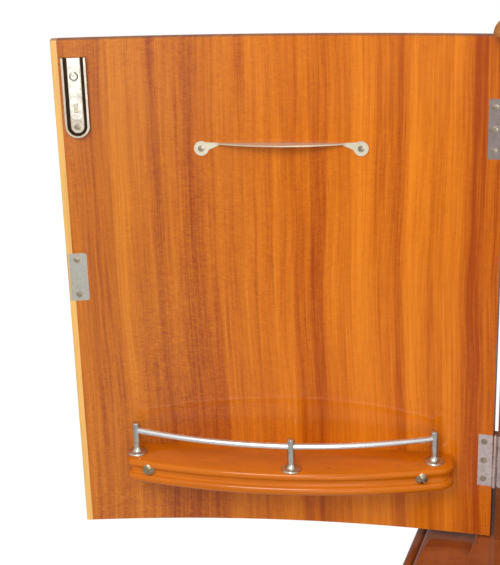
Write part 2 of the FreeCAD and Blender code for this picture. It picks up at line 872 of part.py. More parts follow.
def build_bolt():
    place = on_upper_door(size("bolt_along"), size("bolt_top"))
    half = "(bolt_width / 2)"
    inner = "(bolt_width / 2 - bolt_rim)"
    plate = new_body("bolt_plate")
    sheet_face = above_face("bolt_plate - bolt_sunk")
    pad(plate, draw(new_sketch(plate, "Plate", "XZ_Plane", sheet_face), tongue_shape(half, "bolt_height")), "bolt_plate")
    rim = tongue_shape(half, "bolt_height") + [
        (inner, "0"),
        (inner, f"-(bolt_height - {half})", f"-{inner}"),
        ("0", "-(bolt_height - bolt_rim)", f"-{inner}"),
        (f"-{inner}", f"-(bolt_height - {half})"),
        (f"-{inner}", "0"),
    ]
    rim_sketch = draw(new_sketch(plate, "Rim", "XZ_Plane", above_face("bolt_rim_height")), rim)
    pad(plate, rim_sketch, "bolt_rim_height - (bolt_plate - bolt_sunk)")
    cushion = new_sketch(plate, "Cushion", "XZ_Plane", above_face("bolt_pad_height"))
    ring(cushion, "0", "-(bolt_height - bolt_pad_up)", "bolt_pad")
    pad(plate, cushion, "bolt_pad_height - (bolt_plate - bolt_sunk)")
    tongue_top = f"{SLIDE_FOOT} + slide_thickness"
    tongue = box_outline(
        "-tongue_width / 2", "-tongue_down - tongue_length / 2", "tongue_width / 2", "-tongue_down + tongue_length / 2"
    )
    pad(
        plate, draw(new_sketch(plate, "Tongue", "XZ_Plane", above_face(tongue_top)), tongue),
        f"{tongue_top} - (bolt_plate - bolt_sunk)",
    )
    moved(plate, place)
    head = spot("0", f"-({above_face('bolt_pad_height')})", "-(bolt_height - bolt_pad_up)", FACE_IN)
    screw = countersunk_screw("bolt_screw", place * head)
    node(cut("bolt_plate", plate, screw), "bolt_plate")

    slide = new_body("bolt_slide")
    bar = new_sketch(slide, "Bar", "XZ_Plane", above_face(f"{SLIDE_FOOT} + slide_thickness"))
    pad(slide, draw(bar, tongue_shape("(slide_width / 2)", "slide_length")), "slide_thickness")
    slot_top = "(-tongue_down + tongue_length / 2 + slide_play)"
    slot_length = "(tongue_length + slide_travel + 2 * slide_play)"
    slot = new_sketch(slide, "Slot", "XZ_Plane", above_face(SLIDE_FOOT))
    draw(slot, box_outline("-slide_slot_width / 2", f"{slot_top} - {slot_length}", "slide_slot_width / 2", slot_top))
    pocket(slide, slot, "slide_thickness + overrun", reverse=False)
    button = new_sketch(slide, "Button", "XZ_Plane", above_face(f"{SLIDE_FOOT} + slide_thickness + thumb_knob_height"))
    ring(button, "0", "-thumb_knob_down", "thumb_knob")
    stud = pad(slide, button, "thumb_knob_height")
    top_y = -size(above_face(f"{SLIDE_FOOT} + slide_thickness + thumb_knob_height"))
    eased(slide, stud, lambda edge: edge.YMin > top_y - NEAR, "thumb_knob_height * dome_share")
    moved(slide, place)
    node(slide, "bolt_slide")
    return plate, screw


def build_keeper(under):
    """The keeper plate under the top panel, and the hole for the bolt's slide through both."""
    place = door_place(size("bolt_along"), 0, size("door_radius"), under)
    keeper = add("Part::Box", "keeper", Length="keeper_length", Width="keeper_depth", Height="keeper_thickness")
    moved(keeper, place * spot("-keeper_length / 2", "-(door_radius - seat_gap)", "0"))
    width = "(slide_width + 2 * keeper_play)"
    depth = "(slide_thickness + 2 * keeper_play)"
    hole = add("Part::Box", "bolt_hole", Length=width, Width=depth, Height="slide_travel + 2 * overrun")
    low_y = f"-({above_face(f'{SLIDE_FOOT} - keeper_play')})"
    moved(hole, place * spot(f"-{width} / 2", low_y, "-overrun"))
    return keeper, hole


# Strike and lock. Their frame: x is 0 at the free edge, z is 0 at the middle of the strike.
LOCK_LEVEL = "(strike_low + strike_height / 2)"


def build_strike(place):
    """An angle plate on the left door's free edge, with a mortise for the lock's bolt."""
    strike = new_body("strike_plate")
    inner_round = "(lipping_round - strike_plate)"
    edge_depth = "(lock_bolt_in + lock_bolt_thickness + strike_plate)"
    outline = [
        ("-strike_width", "-door_radius - strike_plate"),
        (f"-strike_plate - {inner_round}", "-door_radius - strike_plate", f"-{inner_round}"),
        ("-strike_plate", f"-door_radius - strike_plate - {inner_round}"),
        ("-strike_plate", f"-door_radius - {edge_depth}"),
        ("0", f"-door_radius - {edge_depth}"),
        ("0", "-door_radius - lipping_round", "lipping_round"),
        ("-lipping_round", "-door_radius"),
        ("-strike_width", "-door_radius"),
    ]
    blank = pad(strike, draw(new_sketch(strike, "Angle"), outline), "strike_height", both_ways=True)
    end_x = -size("strike_width")
    eased(strike, blank, lambda edge: edge.XMax < end_x + NEAR and edge.ZLength < NEAR, "strike_corner")
    moved(strike, place)
    slot_y = "-(door_radius + lock_bolt_in + (lock_bolt_thickness + strike_slot_width) / 2)"
    slot = add("Part::Box", "strike_slot", Length="strike_slot_depth + overrun", Width="strike_slot_width", Height="strike_slot")
    moved(slot, place * spot("-strike_slot_depth", slot_y, "-strike_slot / 2"))
    screws = []
    for side in (-1, 1):
        height = f"{side} * (strike_height / 2 - strike_screw_end)"
        screws.append(countersunk_screw("strike_screw", place * spot("-strike_screw_in", "-door_radius", height, FACE_IN)))
    node(cut("strike_plate", strike, slot, *screws), "strike_plate")
    return strike, slot, screws


def key_solid(place):
    """The key. Its z axis points out of the door, its z = 0 is the door's outer face, its bit points down."""
    tip = "-(door_thickness - lock_wall - key_end_play)"
    shank = add("Part::Cylinder", "key_shank", Radius="key_shank", Height=f"key_out - ({tip})")
    shank.setExpression("Placement.Base.z", bound(tip))
    bit = box("key_bit", "-key_bit_thickness / 2", "-key_bit", tip, "key_bit_thickness", "key_bit", "key_bit_width")
    middle = "key_out + key_bow_hole"
    bow = add("Part::Cylinder", "key_bow", Radius="key_bow", Height="key_bow_thickness")
    moved(bow, spot("-key_bow_thickness / 2", "0", middle, Rotation(Vector(0, 1, 0), 90)))
    eye = add("Part::Cylinder", "key_eye", Radius="key_bow_hole", Height="key_bow_thickness + 2 * overrun")
    moved(eye, spot("-key_bow_thickness / 2 - overrun", "0", middle, Rotation(Vector(0, 1, 0), 90)))
    return moved(cut("key", fused("key_blank", [shank, bit, bow]), eye), place)


def build_lock(place):
    """The lock let into a door's inner face. It is drawn on the left door and reflected to the right one."""
    face_y = "-(door_radius + lock_depth)"
    case = add("Part::Box", "lock_block", Length="lock_width", Width="lock_depth", Height="lock_height")
    moved(case, place * spot("-lock_width", face_y, "-lock_height / 2"))
    hollow = add(
        "Part::Box", "lock_hollow",
        Length="lock_width - 2 * lock_wall", Width="lock_depth - 2 * lock_wall", Height="lock_height - 2 * lock_wall",
    )
    moved(hollow, place * spot("-lock_width + lock_wall", f"{face_y} + lock_wall", "-lock_height / 2 + lock_wall"))
    bolt_y = "-(door_radius + lock_bolt_in + lock_bolt_thickness)"
    bolt = add("Part::Box", "lock_bolt", Length="lock_bolt_length", Width="lock_bolt_thickness", Height="lock_bolt_width")
    moved(bolt, place * spot("-lock_bolt_length - lock_bolt_play", bolt_y, "-lock_bolt_width / 2"))
    mouth = add(
        "Part::Box", "lock_mouth",
        Length="lock_wall + 2 * overrun", Width="lock_bolt_thickness + 2 * lock_bolt_play",
        Height="lock_bolt_width + 2 * lock_bolt_play",
    )
    mouth_spot = spot("-lock_wall - overrun", f"{bolt_y} - lock_bolt_play", "-lock_bolt_width / 2 - lock_bolt_play")
    moved(mouth, place * mouth_spot)
    key_place = place * spot("-key_along", "-(door_radius + door_thickness)", "-key_drop", FACE_OUT)
    hole = add("Part::Cylinder", "key_hole", Radius="key_shank + key_play", Height="door_thickness")
    hole_depth = "(door_thickness - lock_depth + lock_wall + escutcheon_thickness)"
    hole.setExpression("Height", bound(f"{hole_depth} + overrun"))
    hole.setExpression("Placement.Base.z", bound("-(door_thickness - lock_depth + lock_wall)"))
    slot_width = "(key_bit_thickness + 2 * key_end_play)"
    slot = box(
        "key_slot", f"-{slot_width} / 2", "-(key_bit + key_end_play)", "-(door_thickness - lock_depth + lock_wall)",
        slot_width, "key_bit + key_end_play", f"{hole_depth} + overrun",
    )
    key_way = moved(fused("key_way", [hole, slot]), key_place)
    disc = add("Part::Cylinder", "escutcheon", Radius="escutcheon", Height="escutcheon_thickness")
    moved(disc, key_place)
    parts = {
        "lock_case": cut("lock_case", case, hollow, mouth, key_way),
        "lock_bolt": bolt,
        "key": key_solid(key_place),
        "escutcheon": cut("escutcheon", disc, key_way),
    }
    for name, made in parts.items():
        node(mirrored(f"right_{name}", made), name)
    return case, key_way


# Knobs and posts
def many_sided(radius, sides):
    """The corners of an outline with equal sides, half a side's turn from the X axis."""
    turns = [f"360 deg * ({index} + 1 / 2) / {sides}" for index in range(int(size(sides)))]
    return [(f"{radius} * cos({turn})", f"{radius} * sin({turn})") for turn in turns]


def knob(label, place):
    """A many-sided knob. Its z axis points out of the door."""
    body = new_body(label)
    cap = draw(new_sketch(body, "Cap", lift="knob_neck_length"), many_sided("knob", "knob_sides"))
    blank = pad(body, cap, "knob_length - knob_neck_length")
    eased(body, blank, lambda edge: edge.ZLength < NEAR, "knob_bevel", "Chamfer", "Size")
    pad(body, draw(new_sketch(body, "Neck"), many_sided("knob_neck", "knob_sides")), "knob_neck_length + knob_bevel")
    return moved(body, place)


def post(label, place):
    """A rail post on a dished flange."""
    body = new_body(label)
    rim = "(post_flange_height / 2)"
    flare_top = "(post_flange_height + post_flare_height)"
    corners = [
        ("0", "0"),
        ("post_flange", "0"),
        ("post_flange", rim),
        ("post + post_flare", "post_flange_height"),
        ("post", flare_top),
        ("post", "post_height"),
        ("0", "post_height"),
    ]
    turned(body, corners)
    return moved(body, place)


# Door shelf. Its frame: x is 0 on its centre line, z is 0 at its top.
SHELF_CENTRE_Y = "(shelf_depth - door_radius - shelf_radius)"
RAIL_CENTRE_Y = "(rail_crown_depth - door_radius - rail_bow)"


def shelf_outline(inset):
    """Straight back and ends, rounded corners, bowed front. It starts at the back hinge-side corner."""
    half = f"(shelf_half - {inset})"
    radius = f"(shelf_radius - {inset})"
    hinge_arm = "(shelf_radius - shelf_hinge_corner)"
    free_arm = "(shelf_radius - shelf_free_corner)"
    hinge_out = "(shelf_half - shelf_hinge_corner + shelf_crown_shift)"
    free_out = "(shelf_half - shelf_free_corner - shelf_crown_shift)"
    hinge_rise = f"sqrt({hinge_arm} ^ 2 - {hinge_out} ^ 2)"
    free_rise = f"sqrt({free_arm} ^ 2 - {free_out} ^ 2)"
    hinge_share = f"{radius} / {hinge_arm}"
    free_share = f"{radius} / {free_arm}"
    back = "-(door_radius + overrun)"
    return [
        (f"-{half}", back),
        (f"-{half}", f"{SHELF_CENTRE_Y} + {hinge_rise}", f"-(shelf_hinge_corner - {inset})"),
        (
            f"shelf_crown_shift - {hinge_out} * {hinge_share}",
            f"{SHELF_CENTRE_Y} + {hinge_rise} * {hinge_share}",
            f"-{radius}",
        ),
        (
            f"shelf_crown_shift + {free_out} * {free_share}",
            f"{SHELF_CENTRE_Y} + {free_rise} * {free_share}",
            f"-(shelf_free_corner - {inset})",
        ),
        (half, f"{SHELF_CENTRE_Y} + {free_rise}"),
        (half, back),
    ]


def beaded_edge():
    """Two beads with a shallow cove between them."""
    line = "-(shelf_half - cove_depth)"
    inner = "-(shelf_half - shelf_edge)"
    lower_bead = "(shelf_thickness - upper_bead - cove_height)"
    lower_round = f"(({lower_bead} ^ 2 / 4 + cove_depth ^ 2) / (2 * cove_depth))"
    upper_round = "((upper_bead ^ 2 / 4 + cove_depth ^ 2) / (2 * cove_depth))"
    cove_round = "((cove_height ^ 2 / 4 + quirk ^ 2) / (2 * quirk))"
    return [
        (inner, "-shelf_thickness"),
        (line, "-shelf_thickness", f"-{lower_round}"),
        (line, "-(upper_bead + cove_height)", cove_round),
        (line, "-upper_bead", f"-{upper_round}"),
        (line, "0"),
        (inner, "0"),
    ]


def shelf_screw(out, place):
    """A round-head screw with a straight slot. Its head faces the room and its shank runs back into the door."""
    front = f"({SHELF_CENTRE_Y} + sqrt(shelf_radius ^ 2 - (({out}) - shelf_crown_shift) ^ 2))"
    seat = f"({front} - shelf_screw_sunk)"
    dome_round = "((shelf_screw_head ^ 2 + shelf_screw_dome ^ 2) / (2 * shelf_screw_dome))"
    shank_end = f"-({seat} + door_radius + shelf_screw_bite)"
    body = new_body("shelf_screw")
    corners = [
        ("0", shank_end),
        ("shelf_screw_shank", shank_end),
        ("shelf_screw_shank", "0"),
        ("shelf_screw_head", "0", dome_round),
        ("0", "shelf_screw_dome"),
    ]
    turned(body, corners)
    slot = add("Part::Box", "screw_slot", Length="2 * (shelf_screw_head + overrun)", Width="slot_width", Height="slot_depth + overrun")
    turned_slot = spot("0", "0", "0", Rotation(Vector(0, 0, 1), size("slot_turn")))
    slot_low = spot("-shelf_screw_head - overrun", "-slot_width / 2", "shelf_screw_dome - slot_depth")
    moved(slot, turned_slot * slot_low)
    return moved(cut("shelf_screw", body, slot), place * spot(out, seat, "-shelf_screw_drop", FACE_IN))


def build_shelf(panel):
    place = on_upper_door(size("shelf_along"), size("shelf_level"))
    shelf = new_body("left_shelf")
    outline = shelf_outline("shelf_edge")
    pad(shelf, draw(new_sketch(shelf, "Board", lift="-shelf_thickness"), outline), "shelf_thickness")
    path = draw(new_sketch(shelf, "Path"), outline, closed=False)
    swept_edge(shelf, path, beaded_edge(), "XZ_Plane", "door_radius + overrun")
    moved(shelf, place)
    screws = [shelf_screw(out, place) for out in ("free_screw_out", "hinge_screw_out")]
    screw_pair = group("left_shelf_screws", screws)
    node(cut("left_shelf", shelf, panel, screw_pair), "left_shelf")
    node(screw_pair, "left_shelf_screws")

    rail = doc.addObject("Part::Torus", "left_rail")
    free_turn = "asin((free_post_out - rail_crown_shift) / rail_bow)"
    hinge_turn_back = "asin((rail_crown_shift - hinge_post_out) / rail_bow)"
    rail.setExpression("Radius1", bound("rail_bow"))
    rail.setExpression("Radius2", bound("rail"))
    rail.setExpression("Angle3", bound(f"{free_turn} + {hinge_turn_back}"))
    start = 90 - size(f"{free_turn} / 1 deg")
    moved(rail, place * spot("rail_crown_shift", RAIL_CENTRE_Y, "rail_level", Rotation(Vector(0, 0, 1), start)))
    node(rail, "left_rail")
    posts = []
    for out in ("free_post_out", "middle_post_out", "hinge_post_out"):
        depth = f"{RAIL_CENTRE_Y} + sqrt(rail_bow ^ 2 - (({out}) - rail_crown_shift) ^ 2)"
        posts.append(post("post", place * spot(out, depth, "0")))
    node(cut("left_rail_posts", group("posts", posts), rail), "left_rail_posts")
    return screw_pair


# Cocktail-stick strip
def build_strip(panel):
    place = on_upper_door(size("strip_along"), size("strip_level"))
    plate = new_body("strip")
    back_radius = "(door_radius - strip_gap)"
    rise = "(strip_depth - strip_end_depth)"
    front_radius = f"((strip_half ^ 2 + {rise} ^ 2) / (2 * {rise}))"
    outline = [
        ("-strip_half", bow_y("strip_half", back_radius), back_radius),
        ("strip_half", bow_y("strip_half", back_radius)),
        ("strip_half", "strip_end_depth - door_radius", front_radius),
        ("-strip_half", "strip_end_depth - door_radius"),
    ]
    pad(plate, draw(new_sketch(plate, "Plate"), outline), "strip_thickness", both_ways=True)
    hole = ring(
        new_sketch(plate, "Hole"), "-strip_hole_pitch * (strip_hole_count - 1) / 2", "strip_hole_in - door_radius", "strip_hole"
    )
    first = pocket(plate, hole, "strip_thickness + overrun", both_ways=True)
    holes = plate.newObject("PartDesign::LinearPattern", "Holes")
    holes.Originals = [first]
    holes.Direction = (hole, ["H_Axis"])
    holes.setExpression("Length", bound("strip_hole_pitch * (strip_hole_count - 1)"))
    holes.setExpression("Occurrences", bound("strip_hole_count"))
    plate.Tip = holes
    moved(plate, place)
    pieces = [plate]
    screws = []
    for side in (-1, 1):
        ear_place = on_upper_door(size(f"strip_along - {side} * ear_out"), size("ear_level"))
        ear = new_body("ear")
        face = above_face("ear_thickness")
        pad(ear, ring(new_sketch(ear, "Ear", "XZ_Plane", face), "0", "0", "ear"), "ear_thickness")
        reach = f"{-side} * (ear_out - strip_half + ear_lap)"
        rise = "strip_level - ear_level"
        web = [
            ("0", "-ear_web"),
            (reach, f"{rise} - ear_lap"),
            (reach, f"{rise} + strip_thickness / 2"),
            ("0", "ear_web + ear_lap"),
        ]
        pad(ear, draw(new_sketch(ear, "Web", "XZ_Plane", face), web), "ear_thickness")
        pieces.append(moved(ear, ear_place))
        screws.append(countersunk_screw("strip_screw", ear_place * spot("0", f"-({face})", "0", FACE_IN)))
    screw_pair = group("strip_screws", screws)
    node(cut("left_stick_strip", fused("strip_blank", pieces), screw_pair, panel), "left_stick_strip")
    return screw_pair


# Upper doors
def door_knob(name, pair, hold, level):
    """A knob on a left door's outer face."""
    place = door_place(size("knob_along"), level, size(pair["radius"]), pair["foot"])
    return knob(name, hold * place * spot("0", f"-({pair['radius']} + door_thickness)", "0", FACE_OUT))


def build_upper_doors(hinges):
    hold = AT_REST * Placement(Vector(0, size(BOW), size(DOOR_FOOT)), Rotation())
    radius = UPPER["radius"]
    edge = at_arc("0", radius)
    joint = at_arc("lipping_width", radius)
    panel = moved(door_slice("door_panel", UPPER, joint, at_hinge(UPPER)), hold)
    lipping = door_slice("lipping", UPPER, edge, joint)
    block = lipping.Group[-1]
    edge_x = -size(f"{radius} * {edge[0]}") - size("lipping_round")
    eased(lipping, block, lambda box: box.XMin > edge_x and box.ZLength > size("door_height") / 2, "lipping_round")
    moved(lipping, hold)

    shelf_screws = build_shelf(panel)
    strip_screws = build_strip(panel)
    plate, bolt_screw = build_bolt()
    lock_place = on_upper_door(0, size(LOCK_LEVEL))
    strike, slot, strike_screws = build_strike(lock_place)
    lock_case, key_way = build_lock(lock_place)

    strike_opening = seat_opening(radius, "-strike_width", "overrun", "strike_height", lock_place)
    lock_opening = seat_opening(radius, "-lock_width", "overrun", "lock_height", lock_place)
    seats = [strip_screws, hinges["door_leaves"], hinges["door_screws"], hinges["door_room"], shelf_screws]
    left = cut("left_door", panel, *seats, plate, bolt_screw, strike, slot, strike_opening, *strike_screws)
    node(left, "left_door")
    node(cut("left_lipping", lipping, strike, slot, strike_opening), "left_lipping")
    right = mirrored("right_door", cut("right_door", panel, *seats, lock_case, key_way, lock_opening))
    node(right, "right_door")
    node(mirrored("right_lipping", cut("right_lipping", lipping, lock_case, lock_opening)), "right_lipping")
    screws = [hinges["door_screws"], strip_screws]
    node(group("left_door_screws", [*screws, bolt_screw, *strike_screws]), "left_door_screws")
    node(mirrored("right_door_screws", group("door_screws", screws)), "right_door_screws")
    node(hinges["door_leaves"], "left_door_leaves")
    left_knob = door_knob("left_knob", UPPER, AT_REST, size(f"{LOCK_LEVEL} + knob_rise"))
    node(left_knob, "left_knob")
    for name in ("door_leaves", "shelf", "rail_posts", "rail", "shelf_screws", "stick_strip", "knob"):
        node(mirrored(f"right_{name}", NODES[f"left_{name}"]), f"right_{name}")


def build_lower_doors(hinges):
    radius = LOWER["radius"]
    hold = Placement(Vector(0, size(BOW), size(LOWER_DOOR_FOOT)), Rotation())
    panel = moved(door_slice("lower_panel", LOWER, at_arc("0", radius), at_hinge(LOWER)), hold)
    seats = [hinges["door_leaves"], hinges["door_screws"], hinges["door_room"]]
    node(cut("lower_left_door", panel, *seats), "lower_left_door")
    node(hinges["door_leaves"], "lower_left_door_leaves")
    node(hinges["door_screws"], "lower_left_screws")
    level = size(f"{LOWER_DOOR_HEIGHT} - lower_knob_drop")
    node(door_knob("lower_left_knob", LOWER, Placement(), level), "lower_left_knob")
    for name in ("door", "door_leaves", "screws", "knob"):
        node(mirrored(f"lower_right_{name}", NODES[f"lower_left_{name}"]), f"lower_right_{name}")


# The cabinet
def both_sides(label, *lefts):
    """Left-hand pieces and their reflections as one group."""
    pairs = []
    for left in lefts:
        pairs.extend((left, mirrored(f"{label}_right", left)))
    return node(group(label, pairs), label)


upper_hinges = build_hinges("upper", UPPER, "hinge_inset", AT_REST)
lower_hinges = build_hinges("lower", LOWER, "lower_hinge_inset", Placement())
build_plinth()
build_slabs()
lower_pegs = build_lower_case(lower_hinges)
upper_pegs = build_upper_case(upper_hinges)
both_sides("shelf_pegs", upper_pegs, lower_pegs)
both_sides("upper_case_leaves", upper_hinges["case_leaves"])
both_sides("lower_case_leaves", lower_hinges["case_leaves"])
both_sides("hinge_pins", upper_hinges["pins"], lower_hinges["pins"])
both_sides("case_screws", upper_hinges["case_screws"], lower_hinges["case_screws"])
build_upper_doors(upper_hinges)
build_lower_doors(lower_hinges)

doc.recompute()
faults = [made.Label for made in doc.Objects if {"Invalid", "Error"} & set(made.State)]
for label, made in NODES.items():
    if made.Shape.isNull() or not made.Shape.isValid() or not made.Shape.Solids:
        faults.append(label)
if faults:
    raise RuntimeError("faulty: " + ", ".join(faults))

os.makedirs("parts", exist_ok=True)
for label, made in NODES.items():
    made.Shape.exportStep(f"parts/{label}.step")
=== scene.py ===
"""A bow-fronted cocktail cabinet with one door wide open: finishes, turned fittings and a plain studio."""

import math

import bmesh
import bpy
from mathutils import Matrix, Vector


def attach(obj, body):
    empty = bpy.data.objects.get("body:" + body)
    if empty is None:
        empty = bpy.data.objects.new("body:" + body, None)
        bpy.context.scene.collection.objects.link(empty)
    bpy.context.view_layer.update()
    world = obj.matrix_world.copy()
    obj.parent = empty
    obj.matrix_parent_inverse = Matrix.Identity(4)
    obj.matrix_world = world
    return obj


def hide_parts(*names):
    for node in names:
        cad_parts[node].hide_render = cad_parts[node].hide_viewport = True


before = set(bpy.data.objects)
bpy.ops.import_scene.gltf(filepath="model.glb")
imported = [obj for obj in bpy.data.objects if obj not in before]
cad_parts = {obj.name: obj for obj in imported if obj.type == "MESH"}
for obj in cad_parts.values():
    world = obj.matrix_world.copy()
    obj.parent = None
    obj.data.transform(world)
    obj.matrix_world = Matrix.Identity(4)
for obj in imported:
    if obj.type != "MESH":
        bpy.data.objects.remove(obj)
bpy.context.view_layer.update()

bl_info = {
    "name": "Cocktail Cabinet",
    "version": (1, 0, 0),
    "blender": (4, 5, 0),
    "location": "View3D > Sidebar > Cabinet",
    "description": "Dresses the cabinet's boards and fittings and sets up its studio",
    "category": "Object",
}

MM = 0.001
# The doors of a pair, and whether each is the reflected one
SIDES = (("left", False), ("right", True))

# Small fittings on the open door: how far along from its free edge, and how high above its foot
BOLT_ALONG, BOLT_LEVEL = 23.5 * MM, 551.8 * MM
STRIP_ALONG, STRIP_LEVEL = 241.5 * MM, 450.7 * MM
STRIKE_LEVEL = 306.5 * MM
# Their screws: below the bolt's place, each side of the strip's middle, and inward and each way on the strike
BOLT_SCREW_DROP = 74 * MM
STRIP_SCREW_OUT = 86 * MM
STRIKE_SCREW_IN, STRIKE_SCREW_OUT = 11.3 * MM, 20.2 * MM


# ---- settings
def length(name, description, default):
    """A length in metres, given here in millimetres."""
    return bpy.props.FloatProperty(
        name=name, description=description, default=default * MM, unit="LENGTH", subtype="DISTANCE"
    )


def angle(name, description, default):
    """An angle, given here in degrees."""
    return bpy.props.FloatProperty(
        name=name, description=description, default=math.radians(default), subtype="ANGLE"
    )


def colour(name, description, default):
    return bpy.props.FloatVectorProperty(
        name=name, description=description, default=default, size=3, min=0.0, max=1.0, subtype="COLOR"
    )


def power(name, description, default):
    return bpy.props.FloatProperty(name=name, description=description, default=default, unit="POWER")


class DoorSettings(bpy.types.PropertyGroup):
    """Where the open upper doors and their fittings are."""

    bow: length("Bow radius", "Radius of a door's inner face", 1500)
    bow_centre: length("Bow centre", "How far back the bow's centre lies", 1384)
    half_width: length("Half width", "Half the width of the two doors together", 469)
    axis_out: length("Hinge axis out", "How far the hinge axis stands outside the door's edge", 2.6)
    seat_gap: length("Seat gap", "Gap between a door and the case", 1)
    meeting_gap: length("Meeting gap", "Gap between the two doors when they are shut", 2)
    foot: length("Foot", "Level of the doors' lower edge", 761)
    height: length("Height", "Height of a door", 570)
    opening: angle("Opening", "How far the doors stand open at rest", 159.4)


class RailSettings(bpy.types.PropertyGroup):
    """The gallery rail, its posts and the screws of the door shelf."""

    shelf_along: length("Shelf centre", "From the door's free edge to the middle of the shelf", 247.4)
    shelf_level: length("Shelf level", "Level of the shelf's top above the door's foot", 99.5)
    rod: length("Rod radius", "Radius of the rail's rod", 3.7)
    bow: length("Rail bow", "Radius of the rail's bow", 487)
    crown_depth: length("Crown depth", "How far the rail stands off the door at its crown", 62.5)
    crown_shift: length("Crown shift", "How far the rail's crown is from the shelf's middle", 10)
    level: length("Rail level", "Level of the rod above the shelf's top", 28)
    post: length("Post radius", "Radius of a post above its foot", 4.5)
    post_height: length("Post height", "Height of a post", 37)
    flange: length("Flange radius", "Radius of a post's flange", 11.9)
    flange_height: length("Flange height", "Height of the flange at its middle", 2.6)
    flare_height: length("Flare height", "Height of the flare above the flange", 5.5)


class ShelfSettings(bpy.types.PropertyGroup):
    """The door shelf with its double-beaded edge and its two screws."""

    half: length("Half length", "Half the length of the shelf", 185)
    thickness: length("Thickness", "Thickness of the shelf", 27.5)
    depth: length("Depth", "How far the shelf stands off the door at its crown", 75.5)
    bow: length("Front bow", "Radius of the shelf's bowed front", 668)
    crown_shift: length("Crown shift", "How far the crown is from the shelf's middle", 11)
    free_corner: length("Free corner", "Radius of the corner towards the door's free edge", 10)
    hinge_corner: length("Hinge corner", "Radius of the corner towards the hinges", 20)
    upper_bead: length("Upper bead", "Height of the upper bead", 9)
    cove: length("Cove", "Height of the cove between the beads", 8)
    bead_depth: length("Bead depth", "How far the beads stand out", 3.6)
    cove_depth: length("Cove depth", "How far the cove sinks behind the beads' feet", 1.2)
    screw_head: length("Screw head", "Radius of a shelf screw's head", 6.6)
    screw_dome: length("Screw dome", "Height of a shelf screw's head", 2.4)
    screw_drop: length("Screw drop", "From the shelf's top down to a screw", 9.4)
    screw_sunk: length("Screw sunk", "How far a screw's seat lies behind the bead's crest", 0.4)


class ScrewSettings(bpy.types.PropertyGroup):
    """Small countersunk screws and the hinges that they hold."""

    head: length("Head radius", "Radius of a screw's head", 3.6)
    shank: length("Shank radius", "Radius of a screw's shank", 1.5)
    head_depth: length("Head depth", "Depth of the countersunk head", 1.8)
    dome: length("Dome", "How far the head stands out at its middle", 0.25)
    proud: length("Proud", "How far the head's rim stands above its seat", 0.15)
    slot: length("Slot width", "Width of a screw's slot", 0.8)
    slot_depth: length("Slot depth", "Depth of a screw's slot", 0.6)
    pitch: length("Screw pitch", "From one hinge screw to the next", 23)
    inset: length("Screw inset", "From a door's hinge edge to its hinge screws", 9.7)
    upper_hinge: length("Upper door hinge inset", "From an upper door's end to its hinge's middle", 95.5)
    lower_hinge: length("Lower door hinge inset", "From a lower door's end to its hinge's middle", 90)


class KnobSettings(bpy.types.PropertyGroup):
    """The door knobs."""

    radius: length("Radius", "Radius of a knob", 13.85)
    neck: length("Neck", "Radius of a knob's neck", 5.9)
    length_out: length("Length", "How far a knob stands off its door", 26)
    neck_length: length("Neck length", "Length of a knob's neck", 9)
    along: length("From the free edge", "From a door's free edge to its knob", 40)
    upper_level: length("Upper level", "Level of the upper knobs above the doors' foot", 361.5)
    lower_drop: length("Lower drop", "From a lower door's top down to its knob", 120)


class LowerDoorSettings(bpy.types.PropertyGroup):
    """Where the lower doors are."""

    bow: length("Bow radius", "Radius of a lower door's inner face", 1598)
    half_width: length("Half width", "Half the width of the two doors together", 531.5)
    foot: length("Foot", "Level of the doors' lower edge", 92)
    height: length("Height", "Height of a door", 626)
    thickness: length("Thickness", "Thickness of every door", 18)


class WoodSettings(bpy.types.PropertyGroup):
    """Colours of the lacquered boards."""

    dark: colour("Dark ribbon", "Darkest ribbons of the doors' veneer", (0.36, 0.055, 0.001))
    middle: colour("Middle ribbon", "Ground colour of the doors' veneer", (0.59, 0.14, 0.004))
    bright: colour("Bright ribbon", "Brightest ribbons of the doors' veneer", (0.76, 0.215, 0.009))
    ribbon: length("Ribbon width", "Usual width of one ribbon", 17)
    lipping: colour("Lipping", "Colour of the pale lipping", (0.8, 0.45, 0.13))
    faded: colour("Faded", "What the veneer gains towards a door's free edge", (0.0, 0.008, 0.014))
    shelf: colour("Shelf", "Ground colour of the door shelves", (0.52, 0.125, 0.0005))
    # The top slab is paler than the case, partly as its own wood and partly as a painted highlight on its
    # rounded end
    top: colour("Top", "Ground colour of the top slab", (0.52, 0.19, 0.045))
    case: colour("Case", "Ground colour of the case's slabs", (0.25, 0.06, 0.012))


class MetalSettings(bpy.types.PropertyGroup):
    """Colours of the fittings."""

    aluminium: colour("Aluminium", "Colour of the rails", (0.86, 0.86, 0.86))
    nickel: colour("Nickel", "Colour of posts and plates", (0.7, 0.68, 0.6))
    screw: colour("Screws", "Colour of the small screws", (0.44, 0.37, 0.28))
    bolt: colour("Bolt", "Colour of the flush bolt's plate", (0.5, 0.44, 0.35))
    hinge: colour("Hinge", "Colour of the hinges", (0.74, 0.62, 0.59))
    tarnish: colour("Tarnish", "Colour of worn and dirty metal", (0.3, 0.22, 0.14))
    cream: colour("Strip", "Colour of the cocktail-stick strips", (0.72, 0.66, 0.5))
    brass: colour("Brass", "Colour of the knobs", (0.72, 0.46, 0.17))


